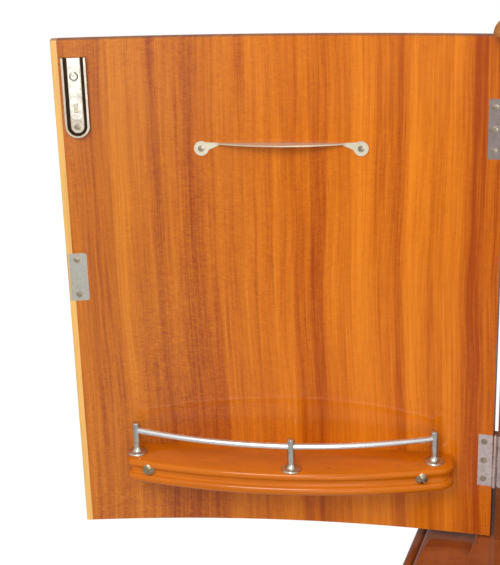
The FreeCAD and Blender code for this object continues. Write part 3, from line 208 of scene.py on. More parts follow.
class StudioSettings(bpy.types.PropertyGroup):
    """Camera, floor and lights."""

    place: bpy.props.FloatVectorProperty(
        name="Camera place", description="Where the camera stands", default=(-0.28761, -1.3694, 1.53536),
        size=3, subtype="TRANSLATION", unit="LENGTH",
    )
    yaw: angle("Yaw", "Turn of the camera to the left of straight back", 19.404)
    pitch: angle("Pitch", "Tilt of the camera downwards", 19.167)
    roll: angle("Roll", "Roll of the camera about its own line of sight", -1.746)
    lens: bpy.props.FloatProperty(name="Lens", description="Focal length", default=83.12, unit="CAMERA")
    floor: colour("Floor", "Colour of the floor", (0.7, 0.7, 0.7))
    key_power: power("Key light", "Power of the key light", 29.0)
    fill_power: power("Fill light", "Power of the fill light", 10.0)
    sky: bpy.props.FloatProperty(
        name="Sky", description="Strength of the soft light from all round", default=0.66, min=0.0, max=1.0
    )


# ---- node helpers
def put(tree, kind, inputs=None, **settings):
    """Adds a shader node. An input's value is a plain value or another node's output."""
    made = tree.nodes.new(f"ShaderNode{kind}")
    for name, value in settings.items():
        setattr(made, name, value)
    for name, value in (inputs or {}).items():
        join(tree, value, made.inputs[name])
    return made


def join(tree, value, socket):
    if isinstance(value, bpy.types.NodeSocket):
        tree.links.new(value, socket)
    elif hasattr(value, "__len__") and len(value) == 3 and socket.type == "RGBA":
        socket.default_value = (*value, 1.0)
    else:
        socket.default_value = value


def sums(tree, operation, first, second, third=None):
    """The result of one operation on two or three values."""
    values = {index: value for index, value in enumerate((first, second, third)) if value is not None}
    return put(tree, "Math", values, operation=operation).outputs[0]


def blended(tree, mask, first, second, blend="MIX"):
    """One colour over another by a mask. Sockets 6, 7 and 2 are the ones for colours."""
    values = {0: mask, 6: first, 7: second}
    return put(tree, "Mix", values, data_type="RGBA", blend_type=blend).outputs[2]


def spread(tree, value, low, high, to_low=0.0, to_high=1.0):
    """A value moved from one range to another and held inside it."""
    ends = {"From Min": low, "From Max": high, "To Min": to_low, "To Max": to_high}
    return put(tree, "MapRange", {"Value": value, **ends}).outputs[0]


def stretched(tree, vector, scale):
    """A place scaled along each axis."""
    return put(tree, "VectorMath", {0: vector, 1: scale}, operation="MULTIPLY").outputs[0]


def noise(tree, vector, seed, detail, roughness=0.5, distortion=0.0, size=1.0):
    values = {"Vector": vector, "W": seed, "Scale": size, "Detail": detail, "Roughness": roughness}
    values["Distortion"] = distortion
    return put(tree, "TexNoise", values, noise_dimensions="4D").outputs[0]


def swayed(tree, value, amount, base):
    """A base moved up and down by a noise that is 0.5 on average."""
    return sums(tree, "MULTIPLY_ADD", sums(tree, "SUBTRACT", value, 0.5), amount, base)


def seen_directly(tree):
    """1 for what the camera sees straight or through glass, and 0 for what only lights or reflects."""
    path = put(tree, "LightPath").outputs
    return sums(tree, "MAXIMUM", path["Is Camera Ray"], path["Is Transmission Ray"])


def bare_tree(owner):
    """The empty node tree of a new material or world."""
    owner.use_nodes = True
    owner.node_tree.nodes.clear()
    return owner.node_tree


def new_group(name, inputs):
    """An empty shader group that takes a place and named values, and gives colour, roughness and height."""
    tree = bpy.data.node_groups.new(name, "ShaderNodeTree")
    tree.interface.new_socket("Place", in_out="INPUT", socket_type="NodeSocketVector")
    for label, default in inputs.items():
        kind = "Color" if isinstance(default, tuple) else "Float"
        socket = tree.interface.new_socket(label, in_out="INPUT", socket_type=f"NodeSocket{kind}")
        socket.default_value = default
    for label, kind in (("Color", "Color"), ("Roughness", "Float"), ("Height", "Float")):
        tree.interface.new_socket(label, in_out="OUTPUT", socket_type=f"NodeSocket{kind}")
    return tree, tree.nodes.new("NodeGroupInput").outputs, tree.nodes.new("NodeGroupOutput").inputs


def ribbon_group():
    """Ribbon-figured veneer. X runs across the grain and Z along it, in metres."""
    tree, given, made = new_group("Ribbon grain", {
        "Seed": 0.0, "Ribbon Width": 0.034, "Figure": 1.0, "Fleck": 0.5,
        "Fade": 0.0, "Faded": (0, 0.02, 0.02, 1), "Dark": (0.4, 0.1, 0.01, 1),
        "Middle": (0.6, 0.16, 0.02, 1), "Bright": (0.76, 0.25, 0.03, 1),
    })

    def layer(vector, scale, own_seed, detail, roughness=0.5, distortion=0.0, size=1.0):
        """One noise of the grain, stretched along each axis and with a seed of its own."""
        seed = sums(tree, "ADD", given["Seed"], own_seed)
        return noise(tree, stretched(tree, vector, scale), seed, detail, roughness, distortion, size)

    place = given["Place"]
    wander = layer(place, (3.0, 1.0, 2.4), 0.0, 2.0)
    shift = put(tree, "CombineXYZ", {"X": swayed(tree, wander, 0.03, 0.0)}).outputs[0]
    swung = put(tree, "VectorMath", {0: place, 1: shift}, operation="ADD").outputs[0]
    pitch = sums(tree, "DIVIDE", 0.85, given["Ribbon Width"])
    broad = layer(swung, (7.0, 2.0, 0.5), 3.1, 1.0)
    ribbons = layer(swung, (1.0, 0.1, 0.02), 7.7, 2.5, 0.55, size=pitch)
    streaks = layer(swung, (330.0, 30.0, 7.0), 1.3, 3.0, 0.6)
    lines = layer(swung, (900.0, 90.0, 16.0), 5.9, 2.0, 0.6)
    pores = layer(swung, (1500.0, 150.0, 60.0), 4.4, 1.0)
    patchy = layer(place, (5.0, 1.0, 4.0), 9.2, 1.0)
    ripple = layer(place, (190.0, 8.0, 520.0), 2.2, 2.0, 0.6, 0.6)
    smears = layer(place, (9.0, 9.0, 9.0), 6.6, 3.0)

    tone = 0.5
    figure = sums(tree, "MULTIPLY", given["Figure"], 1.5)
    for grain, strength in ((broad, 0.7), (ribbons, figure), (streaks, 0.65), (lines, 0.6)):
        tone = swayed(tree, grain, strength, tone)
    flecked = sums(tree, "MULTIPLY", spread(tree, patchy, 0.35, 0.6, 0.35, 1.0), given["Fleck"])
    flecked = sums(tree, "MULTIPLY", flecked, sums(tree, "MULTIPLY_ADD", given["Fade"], 0.8, 0.85))
    tone = swayed(tree, ripple, flecked, tone)
    lower = blended(tree, spread(tree, tone, 0.15, 0.5), given["Dark"], given["Middle"])
    upper = blended(tree, spread(tree, tone, 0.5, 0.85), lower, given["Bright"])
    open_pores = spread(tree, pores, 0.62, 0.74)
    tint = blended(tree, sums(tree, "MULTIPLY", open_pores, 0.3), upper, given["Dark"], "MULTIPLY")
    tint = blended(tree, given["Fade"], tint, (0.9, 1.0, 1.0), "MULTIPLY")
    join(tree, blended(tree, given["Fade"], tint, given["Faded"], "ADD"), made["Color"])
    join(tree, spread(tree, smears, 0.3, 0.7, 0.16, 0.24), made["Roughness"])
    height = sums(tree, "MULTIPLY_ADD", lines, 0.5, sums(tree, "SUBTRACT", 0.5, open_pores))
    join(tree, height, made["Height"])
    return tree


def metal_group():
    """Worn plating: clean metal, tarnish gathered in patches and fine scratches, with near-black painted
    shade laid over it by its own mask.
    """
    tree, given, made = new_group("Worn plating", {
        "Seed": 0.0, "Clean": (0.6, 0.6, 0.6, 1), "Tarnish": (0.3, 0.2, 0.1, 1),
        "Wear": 0.4, "Polish": 0.22, "Painted Shade": 0.0,
    })
    place, seed = given["Place"], given["Seed"]
    clouds = noise(tree, place, seed, 4.0, 0.62, 0.4, 160.0)
    spots = noise(tree, place, sums(tree, "ADD", seed, 4.0), 2.0, 0.5, 0.0, 700.0)
    scratches = noise(tree, stretched(tree, place, (1800.0, 1800.0, 90.0)), sums(tree, "ADD", seed, 8.0), 2.0)
    mask = sums(tree, "MULTIPLY", spread(tree, clouds, 0.42, 0.72), given["Wear"])
    mask = sums(tree, "MAXIMUM", mask, sums(tree, "MULTIPLY", spread(tree, spots, 0.66, 0.74), given["Wear"]))
    tint = blended(tree, mask, given["Clean"], given["Tarnish"])
    # Painted shade: this mask lays a near-black colour over the metal and roughens it
    join(tree, blended(tree, given["Painted Shade"], tint, (0.035, 0.02, 0.012)), made["Color"])
    rough = sums(tree, "MULTIPLY_ADD", sums(tree, "MAXIMUM", mask, given["Painted Shade"]), 0.25, given["Polish"])
    join(tree, swayed(tree, scratches, 0.12, rough), made["Roughness"])
    join(tree, sums(tree, "ADD", scratches, mask), made["Height"])
    return tree


LACQUER = {"Coat_Weight": 0.25, "Coat_Roughness": 0.07, "Specular_IOR_Level": 0.15}
RELIEF_DEPTH = 0.2 * MM
GROUPS = {}


def shared(build):
    """The one copy of a shader group, made when a finish first asks for it."""
    if build not in GROUPS:
        GROUPS[build] = build()
    return GROUPS[build]


def finish(
    name, group, values, turn=0.0, mirror=False, along=None,
    fade=None, rise=None, hollow=None, relief=0.05, **shader,
):
    """A material whose colour, roughness and relief come from one shared group."""
    material = bpy.data.materials.new(name)
    tree = bare_tree(material)

    def mapped(vector, **change):
        return put(tree, "Mapping", {"Vector": vector, **change}).outputs[0]

    place = put(tree, "TexCoord").outputs["Object"]
    level = mapped(mapped(place, Scale=(-1.0 if mirror else 1.0, 1.0, 1.0)), Rotation=(0.0, 0.0, turn))
    vector = mapped(level, Rotation=(0.0, math.pi / 2, 0.0)) if along == "X" else level
    grain = put(tree, "Group", {"Place": vector, **values}, node_tree=group)
    parts = put(tree, "SeparateXYZ", {"Vector": level}).outputs
    if fade:
        join(tree, spread(tree, parts["X"], *fade), grain.inputs["Fade"])
    # Painted shade that grows with height in the room
    if rise:
        join(tree, spread(tree, parts["Z"], *rise), grain.inputs["Painted Shade"])
    # Painted shade on a plate's low sheet, round its pad
    if hollow:
        join(tree, channel(tree, parts, *hollow), grain.inputs["Painted Shade"])
    made = grain.outputs
    heights = {"Strength": relief, "Distance": RELIEF_DEPTH, "Height": made["Height"]}
    bump = put(tree, "Bump", heights)
    surface = put(tree, "BsdfPrincipled", {
        "Base Color": made["Color"], "Roughness": made["Roughness"], "Normal": bump.outputs[0],
        **{label.replace("_", " "): value for label, value in shader.items()},
    })
    put(tree, "OutputMaterial", {0: surface.outputs[0]})
    return material


def timber(name, values, turn=0.0, mirror=False, along=None, **shader):
    """Lacquered wood with ribbon grain."""
    return finish(name, shared(ribbon_group), values, turn, mirror, along, **{**LACQUER, **shader})


def plated(name, clean, tarnish, wear, polish, seed=0.0, metallic=1.0, **more):
    """Worn plating, or with no metal in it any other plain surface."""
    values = {"Clean": clean, "Tarnish": tarnish, "Wear": wear, "Polish": polish, "Seed": seed}
    return finish(name, shared(metal_group), values, Metallic=metallic, **more)


def shades(ground, dark, bright, width, figure, **more):
    """Grain values from one ground colour. Its dark and bright ribbons are multiples of it."""
    return {
        "Ribbon Width": width, "Figure": figure, "Dark": [c * dark for c in ground], "Middle": ground,
        "Bright": [min(c * bright, 1.0) for c in ground], **more,
    }


def channel(tree, parts, middle, half, sheet):
    """A mask of painted shade for the low sheet of a plate, outside a round-ended pad that reaches up from
    the middle.
    """
    across = sums(tree, "SUBTRACT", parts["X"], middle.x)
    down = sums(tree, "MAXIMUM", sums(tree, "SUBTRACT", middle.z, parts["Z"]), 0.0)
    away = sums(tree, "MULTIPLY_ADD", across, across, sums(tree, "MULTIPLY", down, down))
    away = sums(tree, "POWER", away, 0.5)
    low = spread(tree, parts["Y"], sheet + 1.6 * MM, sheet + 0.4 * MM)
    return sums(tree, "MULTIPLY", low, spread(tree, away, half - 0.3 * MM, half + 0.3 * MM))


def dress(material, *nodes):
    """Gives CAD nodes a finish through their own material slots."""
    for name in nodes:
        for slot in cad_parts[name].material_slots:
            slot.material = material


# ---- places on an open door
def hinge_axis(door):
    lean = -math.asin(door.half_width / door.bow)
    start = Vector((-door.axis_out, -(door.bow - door.seat_gap / 2), 0))
    return Matrix.Rotation(lean, 4, "Z") @ start + Vector((0, door.bow_centre, 0))


def shut_place(door, lean, level):
    """A place on a shut left door: round the bow from the cabinet's middle, and up from the door's foot."""
    centre = bpy.context.scene.cabinet_door.bow_centre
    return Matrix.Translation((0, centre, door.foot + level)) @ Matrix.Rotation(-lean, 4, "Z")


def opened(place):
    """A place on the shut left upper door, moved to where the open door has it."""
    door = bpy.context.scene.cabinet_door
    axis = hinge_axis(door)
    swing = Matrix.Rotation(-door.opening, 4, "Z")
    return Matrix.Translation(axis) @ swing @ Matrix.Translation(-axis) @ place


def on_door(along, level):
    """The place of a fitting on the open left door. X runs to the free edge, Y into the room, Z up."""
    door = bpy.context.scene.cabinet_door
    return opened(shut_place(door, (along + door.meeting_gap / 2) / door.bow, level))


def on_lower_door(along, level):
    """The place of a fitting on the shut left lower door."""
    door = bpy.context.scene.cabinet_lower_door
    gap = bpy.context.scene.cabinet_door.meeting_gap
    return shut_place(door, (along + gap / 2) / door.bow, level)


def at_hinge(door, level, swung):
    """The place of a hinge's middle, at the hinge edge of a left door."""
    shut = shut_place(door, math.asin(door.half_width / door.bow), level)
    return opened(shut) if swung else shut


def facing(x, y, z, outward=False):
    """A spot on a door whose Z axis points into the room, or out of the door's outer face."""
    turn = math.pi / 2 if outward else -math.pi / 2
    return Matrix.Translation((x, y, z)) @ Matrix.Rotation(turn, 4, "X")


def door_turn():
    """The turn that lays the open left door's width along X."""
    door = bpy.context.scene.cabinet_door
    middle = door.bow * math.asin(door.half_width / door.bow) / 2
    return door.opening + middle / door.bow


# ---- mesh helpers
def new_object(name, data):
    made = bpy.data.objects.new(name, data)
    bpy.context.scene.collection.objects.link(made)
    return made


def new_piece(mesh, material, body):
    """A visible piece with its mesh's name, which rides on a body."""
    piece = new_object(mesh.name, mesh)
    mesh.materials.append(material)
    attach(piece, body)
    return piece


def as_mesh(name, work, place, mirror, sharp=math.radians(32)):
    """A bmesh as a smooth mesh with its sharp edges kept, put in its place or in the place's reflection."""
    move = Matrix.Diagonal((-1 if mirror else 1, 1, 1, 1)) @ place
    work.transform(move)
    bmesh.ops.remove_doubles(work, verts=work.verts, dist=1e-6)
    bmesh.ops.recalc_face_normals(work, faces=work.faces)
    for face in work.faces:
        face.smooth = True
    for edge in work.edges:
        edge.smooth = len(edge.link_faces) == 2 and edge.calc_face_angle(0.0) < sharp
    mesh = bpy.data.meshes.new(name)
    work.to_mesh(mesh)
    work.free()
    return mesh


def bridge(work, first, second):
    """Joins two closed rings with faces. A ring of one corner gives a fan."""
    sides = max(len(first), len(second))
    for step in range(sides):
        after = (step + 1) % sides
        low = (first[step % len(first)], first[after % len(first)])
        high = (second[after % len(second)], second[step % len(second)])
        corners = list(dict.fromkeys((*low, *high)))
        if len(corners) > 2:
            work.faces.new(corners)


def turned(work, profile, place=Matrix(), sides=48):
    """Adds a turned form to a bmesh: (radius, level) pairs spun about Z."""
    rings = []
    for radius, level in profile:
        ring = []
        for step in range(1 if radius < 1e-7 else sides):
            turn = 2 * math.pi * step / sides
            spot = Vector((radius * math.cos(turn), radius * math.sin(turn), level))
            ring.append(work.verts.new(place @ spot))
        rings.append(ring)
    for low, high in zip(rings, rings[1:]):
        bridge(work, low, high)


def arc(start, stop, bulge, steps):
    """Points on an arc between two (radius, level) points. The bulge is the arc's height over its chord."""
    (x0, y0), (x1, y1) = start, stop
    chord = math.hypot(x1 - x0, y1 - y0)
    side = 1.0 if bulge > 0 else -1.0
    radius = (chord * chord / 4 + bulge * bulge) / (2 * abs(bulge))
    nx, ny = (y1 - y0) / chord * side, -(x1 - x0) / chord * side
    cx = (x0 + x1) / 2 - nx * (radius - abs(bulge))
    cy = (y0 + y1) / 2 - ny * (radius - abs(bulge))
    a0, a1 = math.atan2(y0 - cy, x0 - cx), math.atan2(y1 - cy, x1 - cx)
    while a1 - a0 > math.pi:
        a1 -= 2 * math.pi
    while a0 - a1 > math.pi:
        a1 += 2 * math.pi
    turns = [a0 + (a1 - a0) * step / steps for step in range(steps + 1)]
    return [(cx + radius * math.cos(t), cy + radius * math.sin(t)) for t in turns]


def slotted_head(work, place, radius, dome, floor, slot, skirt, turn):
    """Adds a slotted screw head.

    The slot has a width and a level for its floor, and the skirt is the outline below the rim.
    """
    place = place @ Matrix.Rotation(turn, 4, "Z")
    half = slot / 2
    reach = math.sqrt(radius * radius - half * half)
    columns, rows = 18, 5
    across = [-reach * math.cos(math.pi * column / columns) for column in range(columns + 1)]

    def corner(x, y, z):
        return work.verts.new(place @ Vector((x, y, z)))

    def crown(x, y):
        return corner(x, y, dome * max(0.0, 1 - (x * x + y * y) / (radius * radius)))

    for side in (1, -1):
        grid = []
        for x in across:
            rim = math.sqrt(max(radius * radius - x * x, half * half))
            line = [crown(x, side * (half + (rim - half) * row / rows)) for row in range(rows + 1)]
            grid.append([corner(x, side * half, floor), *line])
        for first, second in zip(grid, grid[1:]):
            for row in range(rows + 1):
                work.faces.new((first[row], second[row], second[row + 1], first[row + 1]))
    strip = [(corner(x, -half, floor), corner(x, half, floor)) for x in across]
    for first, second in zip(strip, strip[1:]):
        work.faces.new((first[0], second[0], second[1], first[1]))
    turned(work, [(radius, 0.0), *skirt], place, 2 * columns)


# ---- operators
class CabinetPiece:
    bl_options = {"REGISTER", "UNDO"}


class CABINET_OT_boards(CabinetPiece, bpy.types.Operator):
    """Lacquered veneers and solid timbers on every board"""

    bl_idname = "cabinet.boards"
    bl_label = "Boards"

    # Picks the figure of the doors' veneer
    DOOR_SEED = 338.37
    # The veneer fades across a band round this place, measured from the door's free edge
    FADE_ALONG = 170 * MM
    FADE_BEFORE, FADE_AFTER = 90 * MM, 70 * MM

    def execute(self, context):
        wood = context.scene.cabinet_wood
        turn = door_turn()
        inner_face = Vector((0, -context.scene.cabinet_door.bow, 0))
        middle = Matrix.Rotation(turn, 3, "Z") @ (on_door(self.FADE_ALONG, 0) @ inner_face)
        fade = (middle.x - self.FADE_BEFORE, middle.x + self.FADE_AFTER)
        veneer = {
            "Faded": wood.faded, "Ribbon Width": wood.ribbon, "Figure": 1.0,
            "Dark": wood.dark, "Middle": wood.middle, "Bright": wood.bright,
        }
        door = {**veneer, "Seed": self.DOOR_SEED}
        pale = shades(wood.lipping, 0.8, 1.15, 12 * MM, 0.6, Fleck=0.0)
        for side, mirror in SIDES:
            dress(timber(f"door veneer {side}", door, turn, mirror, fade=fade), f"{side}_door")
            dress(timber(f"pale lipping {side}", pale, turn, mirror), f"{side}_lipping")
        case = shades(wood.case, 0.5, 1.5, wood.ribbon, 0.8)
        dress(
            timber("case veneer upright", {**case, "Seed": 5.0}),
            "upper_side_left", "upper_side_right", "lower_side_left", "lower_side_right",
            "lower_left_door", "lower_right_door",
        )
        polish = {"Coat_Weight": 0.8, "Coat_Roughness": 0.05, "Specular_IOR_Level": 0.3}
        flat = timber("case veneer flat", {**case, "Seed": 8.0}, along="X", **polish)
        dress(flat, "base_slab", "step_board")
        # Paler top slab, partly its own wood and partly a painted highlight on its rounded end
        light = shades(wood.top, 0.7, 1.3, wood.ribbon, 0.8, Seed=9.0)
        dress(timber("top board", light, along="X"), "top_slab")
        inner = {**veneer, "Seed": 11.0}
        inner["Dark"] = [c * 0.7 for c in wood.dark]
        inner["Middle"] = [c * 0.7 for c in wood.middle]
        dress(timber("inner veneer", inner), "upper_back", "lower_back")
        dress(timber("inner veneer flat", inner, along="X"), "lower_floor", "lower_shelf", "upper_top")
        stained = {
            "Ribbon Width": 20 * MM, "Dark": (0.018, 0.009, 0.005), "Middle": (0.04, 0.018, 0.009),
            "Bright": (0.075, 0.035, 0.018), "Figure": 0.6, "Fleck": 0.2,
        }
        unlacquered = finish(
            "stained plinth", shared(ribbon_group), stained, along="X", relief=0.1, Specular_IOR_Level=0.3
        )
        dress(unlacquered, "plinth_front", "plinth_left", "plinth_right", "plinth_back")
        return {"FINISHED"}


class CABINET_OT_fittings(CabinetPiece, bpy.types.Operator):
    """Worn plating on hinges, lock, bolt, strips and shelf pegs"""

    bl_idname = "cabinet.fittings"
    bl_label = "Hinges, lock and strips"

    # How far the bolt plate's low sheet stands off the door, and half the width of its pad; together they
    # bound the painted shade on the sheet
    BOLT_SHEET, BOLT_PAD = 2.2 * MM, 7 * MM

    def execute(self, context):
        tones = context.scene.cabinet_metal
        dress(
            plated("worn nickel", tones.nickel, tones.tarnish, 0.45, 0.2, relief=0.06),
            "bolt_slide", "strike_plate", "bolt_keeper", "lock_case", "lock_bolt", "key", "escutcheon",
            "shelf_pegs",
        )
        # Painted shade darkens the hinges between these two levels in the room, from not at all to this share
        rise = (1.0, 1.2, 0.0, 0.55)
        dress(
            plated("hinge plating", tones.hinge, (0.22, 0.13, 0.1), 0.4, 0.2, 1.0, relief=0.06, rise=rise),
            "left_door_leaves", "right_door_leaves", "upper_case_leaves", "lower_case_leaves",
            "lower_left_door_leaves", "lower_right_door_leaves", "hinge_pins",
        )
        cream = plated("strip metal", tones.cream, tones.tarnish, 0.2, 0.32, 2.0, 0.6, relief=0.06)
        dress(cream, "left_stick_strip", "right_stick_strip")
        door = context.scene.cabinet_door
        face = Vector((0, -door.bow + self.BOLT_SHEET, -BOLT_SCREW_DROP))
        turn = door.opening + (BOLT_ALONG + door.meeting_gap / 2) / door.bow
        middle = Matrix.Rotation(turn, 3, "Z") @ (on_door(BOLT_ALONG, BOLT_LEVEL) @ face)
        # Painted shade darkens the bolt plate's low sheet round its pad
        hollow = (middle, self.BOLT_PAD, middle.y)
        bolt = plated("bolt plating", tones.bolt, tones.tarnish, 0.35, 0.16, 7.0, turn=turn, hollow=hollow)
        dress(bolt, "bolt_plate")
        return {"FINISHED"}


def outward(turn):
    return Vector((math.cos(turn), math.sin(turn)))


def both_doors(build, name, material, slot, *nodes):
    """Builds a piece on the left upper door and its reflection on the right one."""
    for side, mirror in SIDES:
        work = bmesh.new()
        build(work)
        mesh = as_mesh(f"{side}_{name}", work, Matrix(), mirror)
        piece = new_piece(mesh, material, f"{side}_door")
        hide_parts(*(f"{side}_{node}" for node in nodes))


class CABINET_OT_shelves(CabinetPiece, bpy.types.Operator):
    """The bow-fronted door shelves with two beads and a cove round the edge"""

    bl_idname = "cabinet.shelves"
    bl_label = "Door shelves"

    # Steps of the moulding round the hinge corner, along the front and round the free corner
    CORNER_STEPS, FRONT_STEPS, END_STEPS = 16, 64, 12

    def execute(self, context):
        scene = context.scene
        rail = scene.cabinet_rail
        solid = shades(scene.cabinet_wood.shelf, 0.7, 1.25, 30 * MM, 0.7, Fleck=0.2)
        varnish = {"Coat_Weight": 0.4, "Coat_Roughness": 0.1, "Specular_IOR_Level": 0.1}
        for side, mirror in SIDES:
            material = timber(f"shelf timber {side}", solid, door_turn(), mirror, "X", relief=0.04, **varnish)
            work = bmesh.new()
            self.board(work, scene.cabinet_shelf, scene.cabinet_door.bow)
            mesh = as_mesh(f"{side}_beaded_shelf", work, on_door(rail.shelf_along, rail.shelf_level), mirror)
            piece = new_piece(mesh, material, f"{side}_door")
            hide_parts(f"{side}_shelf")
        return {"FINISHED"}

    def board(self, work, shelf, door_bow):
        """Sweeps the moulding round the ends and the bowed front, and closes the top and the underside.

        The path runs from the hinge end to the free end. It lies behind the edge by the free corner's
        radius, so there the moulding turns about one point.
        """
        centre = Vector((shelf.crown_shift, shelf.depth - door_bow - shelf.bow))
        inset = shelf.free_corner
        ends = []
        for side, corner in ((-1, shelf.hinge_corner), (1, shelf.free_corner)):
            x = side * (shelf.half - corner)
            ends.append(Vector((x, centre.y + math.sqrt((shelf.bow - corner) ** 2 - (x - centre.x) ** 2))))
        turns = [math.atan2(end.y - centre.y, end.x - centre.x) for end in ends]
        low, high = -(shelf.half - inset), shelf.half - inset
        path = [(Vector((low, -door_bow)), math.pi), (Vector((low, (ends[0].y - door_bow) / 2)), math.pi)]
        for step in range(self.CORNER_STEPS + 1):
            turn = math.pi + (turns[0] - math.pi) * step / self.CORNER_STEPS
            path.append((ends[0] + (shelf.hinge_corner - inset) * outward(turn), turn))
        for step in range(1, self.FRONT_STEPS):
            turn = turns[0] + (turns[1] - turns[0]) * step / self.FRONT_STEPS
            path.append((centre + (shelf.bow - inset) * outward(turn), turn))
        for step in range(self.END_STEPS + 1):
            path.append((ends[1], turns[1] * (1 - step / self.END_STEPS)))
        path.append((Vector((high, (ends[1].y - door_bow) / 2)), 0.0))
        path.append((Vector((high, -door_bow)), 0.0))
        outer = inset - shelf.bead_depth
        lower = -(shelf.upper_bead + shelf.cove)
        section = arc((outer, -shelf.thickness), (outer, lower), shelf.bead_depth, 12)
        section += arc((outer, lower), (outer, -shelf.upper_bead), -shelf.cove_depth, 8)[1:]
        section += arc((outer, -shelf.upper_bead), (outer, 0.0), shelf.bead_depth, 12)[1:]
        rows = []
        for place, turn in path:
            out = outward(turn)
            rows.append([work.verts.new((*(place + out * reach), level)) for reach, level in section])
        for first, second in zip(rows, rows[1:]):
            for index in range(len(section) - 1):
                work.faces.new((first[index], first[index + 1], second[index + 1], second[index]))
        work.faces.new([row[-1] for row in rows])
        work.faces.new([row[0] for row in reversed(rows)])


class CABINET_OT_gallery(CabinetPiece, bpy.types.Operator):
    """The gallery rails, their posts on dished flanges and the shelves' round-head screws"""

    bl_idname = "cabinet.gallery"
    bl_label = "Gallery rails"

    # Places out from the shelf's middle towards the door's free edge, in millimetres
    POSTS = (175.6, -5.5, -163.0)
    SCREWS = (158.4, -149.2)
    # How each of the two screws' slots is turned, in radians
    SLOT_TURNS = (0.6, -0.9)

    def execute(self, context):
        tones = context.scene.cabinet_metal
        rail = context.scene.cabinet_rail
        self.place = on_door(rail.shelf_along, rail.shelf_level)
        self.centre = rail.crown_depth - context.scene.cabinet_door.bow - rail.bow
        drawn = plated("drawn aluminium", tones.aluminium, (0.5, 0.5, 0.48), 0.3, 0.26)
        both_doors(self.rod, "gallery_rod", drawn, "rail_metal", "rail")
        polished = plated("post plating", (0.66, 0.63, 0.55), tones.tarnish, 0.55, 0.16, relief=0.08)
        both_doors(self.posts, "gallery_posts", polished, "post_metal", "rail_posts")
        dull = plated("shelf screw plating", (0.46, 0.38, 0.26), (0.1, 0.06, 0.03), 0.6, 0.24, relief=0.15)
        both_doors(self.screws, "round_head_screws", dull, "screw_metal", "shelf_screws")
        return {"FINISHED"}

    def rod(self, work):
        rail = bpy.context.scene.cabinet_rail
        low, high = (
            math.asin((end * MM - rail.crown_shift) / rail.bow) for end in (self.POSTS[2], self.POSTS[0])
        )
        spans, sides = 96, 20
        rings = []
        for step in range(spans + 1):
            turn = low + (high - low) * step / spans
            out = Vector((math.sin(turn), math.cos(turn), 0))
            middle = Vector((rail.crown_shift, self.centre, rail.level)) + out * rail.bow
            ring = []
            for side in range(sides):
                about = 2 * math.pi * side / sides
                away = out * math.cos(about) + Vector((0, 0, math.sin(about)))
                ring.append(work.verts.new(self.place @ (middle + away * rail.rod)))
            rings.append(ring)
        for first, second in zip(rings, rings[1:]):
            bridge(work, first, second)
        work.faces.new(rings[0])
        work.faces.new(list(reversed(rings[-1])))

    def posts(self, work):
        """Each post is turned: a dished flange with a rounded rim, a flare and a stem with an eased top."""
        rail = bpy.context.scene.cabinet_rail
        rim = rail.flange_height / 2
        rim_top = rail.flange_height * 0.78
        foot = rail.post + 2.6 * MM
        flare_top = rail.flange_height + rail.flare_height
        ease = 0.7 * MM
        shoulder = rail.post_height - ease
        profile = [(0.0, 0.0), (rail.flange, 0.0)]
        profile += arc((rail.flange, rim * 0.5), (rail.flange - rim, rim_top), 0.25 * MM, 5)
        profile += arc((rail.flange - rim * 1.6, rim_top), (foot, rail.flange_height), -0.25 * MM, 5)
        profile += arc((foot, rail.flange_height), (rail.post, flare_top), -0.7 * MM, 8)[1:]
        profile += [(rail.post, shoulder)]
        profile += arc((rail.post, shoulder), (rail.post - ease, rail.post_height), 0.2 * MM, 4)[1:]
        profile += [(0.0, rail.post_height)]
        for out in self.POSTS:
            depth = self.centre + math.sqrt(rail.bow ** 2 - (out * MM - rail.crown_shift) ** 2)
            turned(work, profile, self.place @ Matrix.Translation((out * MM, depth, 0)))

    def screws(self, work):
        scene = bpy.context.scene
        shelf = scene.cabinet_shelf
        centre = shelf.depth - scene.cabinet_door.bow - shelf.bow
        under, shank, tip = -0.4 * MM, 2.4 * MM, -9 * MM
        skirt = [(shelf.screw_head, under), (shank, under), (shank, tip), (0.0, tip)]
        slot, floor = 1.4 * MM, shelf.screw_dome - 1.6 * MM
        for out, turn in zip(self.SCREWS, self.SLOT_TURNS):
            front = centre + math.sqrt(shelf.bow ** 2 - (out * MM - shelf.crown_shift) ** 2)
            place = self.place @ facing(out * MM, front - shelf.screw_sunk, -shelf.screw_drop)
            slotted_head(work, place, shelf.screw_head, shelf.screw_dome, floor, slot, skirt, turn)


